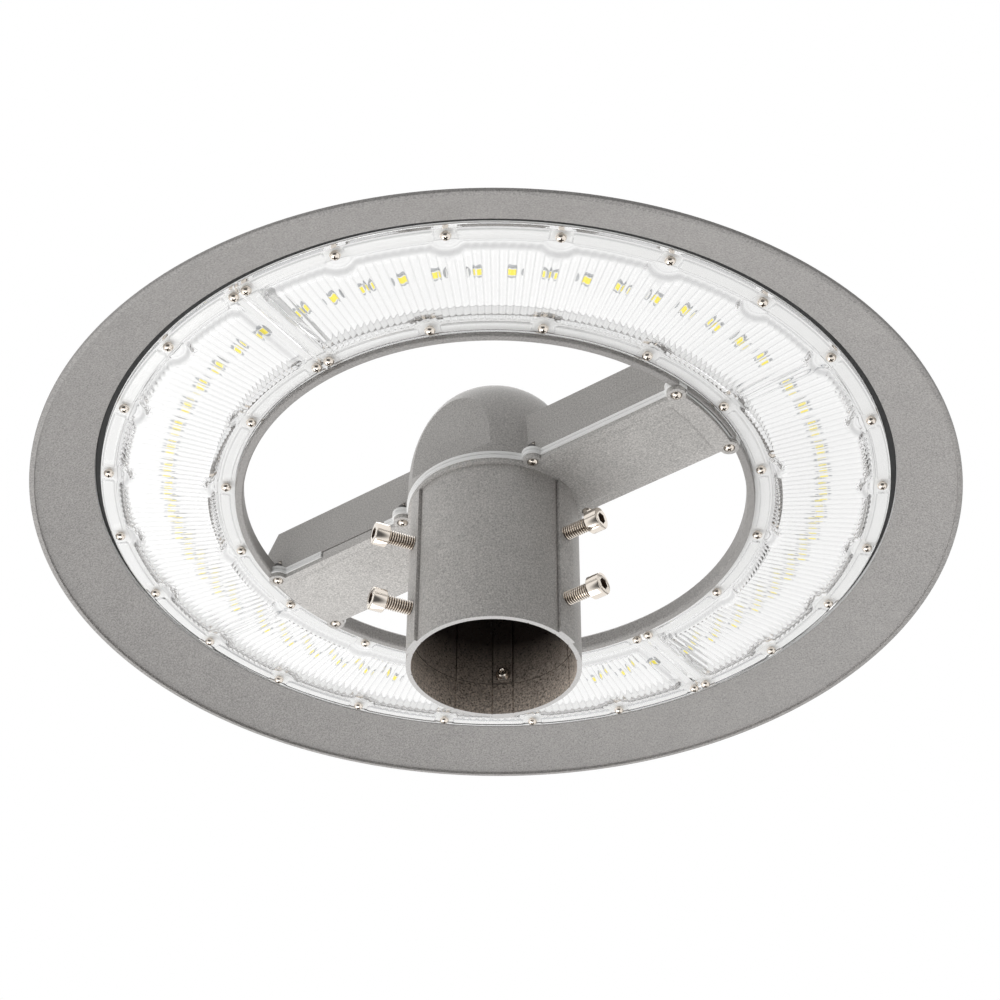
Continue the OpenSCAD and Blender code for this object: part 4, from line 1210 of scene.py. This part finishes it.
def light_chip(sizes):
    """One light chip under the origin: a white package round a yellow face, on an oval tinned plate whose
    grey is partly painted shade.
    """
    step, recess = 0.05 * MM, 0.12 * MM
    chip = block((sizes.length, sizes.width, sizes.thickness), (0, 0, -sizes.thickness / 2))
    add_finishes(chip, ("package", "phosphor"))
    select_faces(chip, lambda face: face.normal.z < -0.5)
    bpy.ops.mesh.inset(thickness=sizes.border, depth=0)
    bpy.ops.mesh.inset(thickness=step, depth=-recess)
    leave_edit()
    for face in chip.data.polygons:
        face.material_index = int(face.select)
    deselect()
    bpy.ops.mesh.primitive_cylinder_add(
        vertices=24, radius=0.5, depth=sizes.plate_thickness, location=(0, 0, -sizes.plate_thickness / 2))
    plate = bpy.context.object
    plate.scale = (sizes.plate_length, sizes.plate_width, 1)
    place_in_mesh(plate)
    soften(plate, 0.04 * MM, 1)
    add_finishes(plate, ["solder_and_shade"])
    return join([plate, chip])


class PARKLIGHT_OT_inner_pieces(bpy.types.Operator):
    """Gives the carried-over pieces their finishes"""

    bl_idname = "park_light.inner_pieces"
    bl_label = "Inner pieces"

    def execute(self, context):
        for finish, nodes in NODE_FINISHES.items():
            for node in nodes:
                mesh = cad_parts[node].data
                mesh.materials.clear()
                mesh.materials.append(MATERIALS[finish])
        return {"FINISHED"}


# Stage


def lamp(name, power, size, place, target):
    """A square soft lamp that faces a target."""
    data = bpy.data.lights.new(name, "AREA")
    data.energy = power
    data.size = size
    obj = bpy.data.objects.new(name, data)
    obj.location = place
    obj.rotation_euler = (target - Vector(place)).to_track_quat("-Z", "Y").to_euler()
    bpy.context.scene.collection.objects.link(obj)


def studio_world(sizes):
    """Soft light from all round, darker in front, behind which the camera sees plain white."""
    world = bpy.data.worlds.new("Studio")
    bpy.context.scene.world = world
    world.use_nodes = True
    tree = Tree(world.node_tree)
    background = tree.nodes["Background"]
    background.inputs["Color"].default_value = (1, 1, 1, 1)
    direction = tree.add("ShaderNodeTexCoord").outputs["Generated"]
    light = tree.add("ShaderNodeLightPath").outputs

    def shaded(towards, ends, results):
        """A level that goes smoothly from one result to the other the more a ray points a way."""
        facing = tree.add("ShaderNodeVectorMath", {"operation": "DOT_PRODUCT"})
        tree.links.new(direction, facing.inputs[0])
        facing.inputs[1].default_value = towards
        return tree.ramp(facing.outputs["Value"], ends, results, "SMOOTHSTEP")

    def where(ray, here, otherwise):
        """One level for one kind of ray and another for the rest."""
        return tree.ramp(light[ray], results=(otherwise, here))

    strength = sizes.world_strength
    soft = shaded(SHADED_SIDE, (0.1, 0.9), (strength, strength * sizes.world_shaded))
    gloss = shaded(FRONT, (0.65, 0.9), (1.0, sizes.gloss_front))
    level = where("Transmission Depth", sizes.through_glass, where("Is Glossy Ray", gloss, soft))
    tree.links.new(where("Is Camera Ray", 1.0, level), background.inputs["Strength"])


def floor_material():
    """Pale floor that is seen only from above and fades out around the light."""
    material, tree, shader = new_material("Floor")
    place = tree.place()
    noise = tree.add("ShaderNodeTexNoise", Vector=place, Scale=6.0, Detail=3.0)
    tree.links.new(tree.ramp(noise.outputs["Fac"], results=(0.80, 0.84)), shader.inputs["Base Color"])
    shader.inputs["Roughness"].default_value = 0.9
    distance = tree.add("ShaderNodeVectorMath", {"operation": "LENGTH"}, Vector=place)
    fade = tree.ramp(distance.outputs["Value"], FLOOR_FADE, (1, 0))
    light = tree.add("ShaderNodeLightPath").outputs
    front = tree.calc("SUBTRACT", 1.0, tree.add("ShaderNodeNewGeometry").outputs["Backfacing"])
    seen = tree.calc("MULTIPLY", front, light["Is Camera Ray"])
    tree.mix_surface(tree.calc("MULTIPLY", seen, fade), tree.add("ShaderNodeBsdfTransparent"), shader)
    return material


class PARKLIGHT_OT_stage(bpy.types.Operator):
    """Sets up the camera, the lamps, the white surroundings and the floor"""

    bl_idname = "park_light.stage"
    bl_label = "Stage"

    def execute(self, context):
        sizes = context.scene.park_light_stage
        aim = Vector(sizes.camera_aim).normalized()
        right = aim.cross(Vector((0, 0, 1))).normalized()
        up = right.cross(aim)
        roll = sizes.camera_roll
        across = right * math.cos(roll) + up * math.sin(roll)
        upright = up * math.cos(roll) - right * math.sin(roll)
        data = bpy.data.cameras.new("Camera")
        data.lens = sizes.focal_length
        data.shift_x, data.shift_y = sizes.camera_shift
        data.clip_start, data.clip_end = 0.01, 50
        camera = bpy.data.objects.new("Camera", data)
        turn = Matrix((across, upright, -aim)).transposed().to_4x4()
        camera.matrix_world = Matrix.Translation(Vector(sizes.camera_place)) @ turn
        context.scene.collection.objects.link(camera)
        context.scene.camera = camera
        context.scene.view_settings.view_transform = "Standard"
        studio_world(sizes)
        centre = Vector((0, 0, SEAL_TOP))
        lamp("Key lamp", sizes.key_power, sizes.lamp_size, sizes.key_place, centre)
        lamp("Top lamp", sizes.top_power, sizes.lamp_size, sizes.top_place, centre)
        deselect()
        bpy.ops.mesh.primitive_plane_add(size=FLOOR_SIZE, location=(0, 0, -FLOOR_GAP))
        floor = context.object
        floor.name = "Floor"
        place_in_mesh(floor)
        floor.data.materials.append(floor_material())
        return {"FINISHED"}


class PARKLIGHT_PT_panel(bpy.types.Panel):
    """Lists the steps that dress the park light"""

    bl_idname = "PARKLIGHT_PT_panel"
    bl_label = "Park light"
    bl_space_type = "VIEW_3D"
    bl_region_type = "UI"
    bl_category = "Park light"

    def draw(self, context):
        for step in STEPS:
            self.layout.operator(step.bl_idname)
        for name in GROUPS:
            group = getattr(context.scene, name)
            box = self.layout.box()
            for key in group.bl_rna.properties.keys():
                if key not in ("rna_type", "name"):
                    box.prop(group, key)


GROUPS = {
    "park_light_ring": RingSizes, "park_light_socket": SocketSizes, "park_light_lens": LensSizes,
    "park_light_screws": ScrewSizes, "park_light_chips": ChipSizes, "park_light_finishes": Finishes,
    "park_light_stage": StageSizes,
}
STEPS = (PARKLIGHT_OT_canopy_ring, PARKLIGHT_OT_bridge, PARKLIGHT_OT_pole_socket, PARKLIGHT_OT_lenses,
         PARKLIGHT_OT_small_screws, PARKLIGHT_OT_clamp_screws, PARKLIGHT_OT_chips,
         PARKLIGHT_OT_inner_pieces, PARKLIGHT_OT_stage)


def register():
    """Registers the classes and gives the scene its sizes."""
    for kind in (*GROUPS.values(), *STEPS, PARKLIGHT_PT_panel):
        bpy.utils.register_class(kind)
    for name, kind in GROUPS.items():
        setattr(bpy.types.Scene, name, PointerProperty(type=kind))


def unregister():
    """Takes the classes and the sizes away again."""
    for name in GROUPS:
        delattr(bpy.types.Scene, name)
    for kind in (PARKLIGHT_PT_panel, *reversed(STEPS), *GROUPS.values()):
        bpy.utils.unregister_class(kind)


def main():
    """Registers the add-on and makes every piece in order."""
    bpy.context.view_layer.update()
    register()
    MATERIALS.update(make_materials(bpy.context.scene))
    bpy.ops.park_light.canopy_ring()
    bpy.ops.park_light.bridge()
    bpy.ops.park_light.pole_socket()
    bpy.ops.park_light.lenses()
    bpy.ops.park_light.small_screws()
    bpy.ops.park_light.clamp_screws()
    bpy.ops.park_light.chips()
    bpy.ops.park_light.inner_pieces()
    bpy.ops.park_light.stage()


if __name__ == "__main__":
    main()
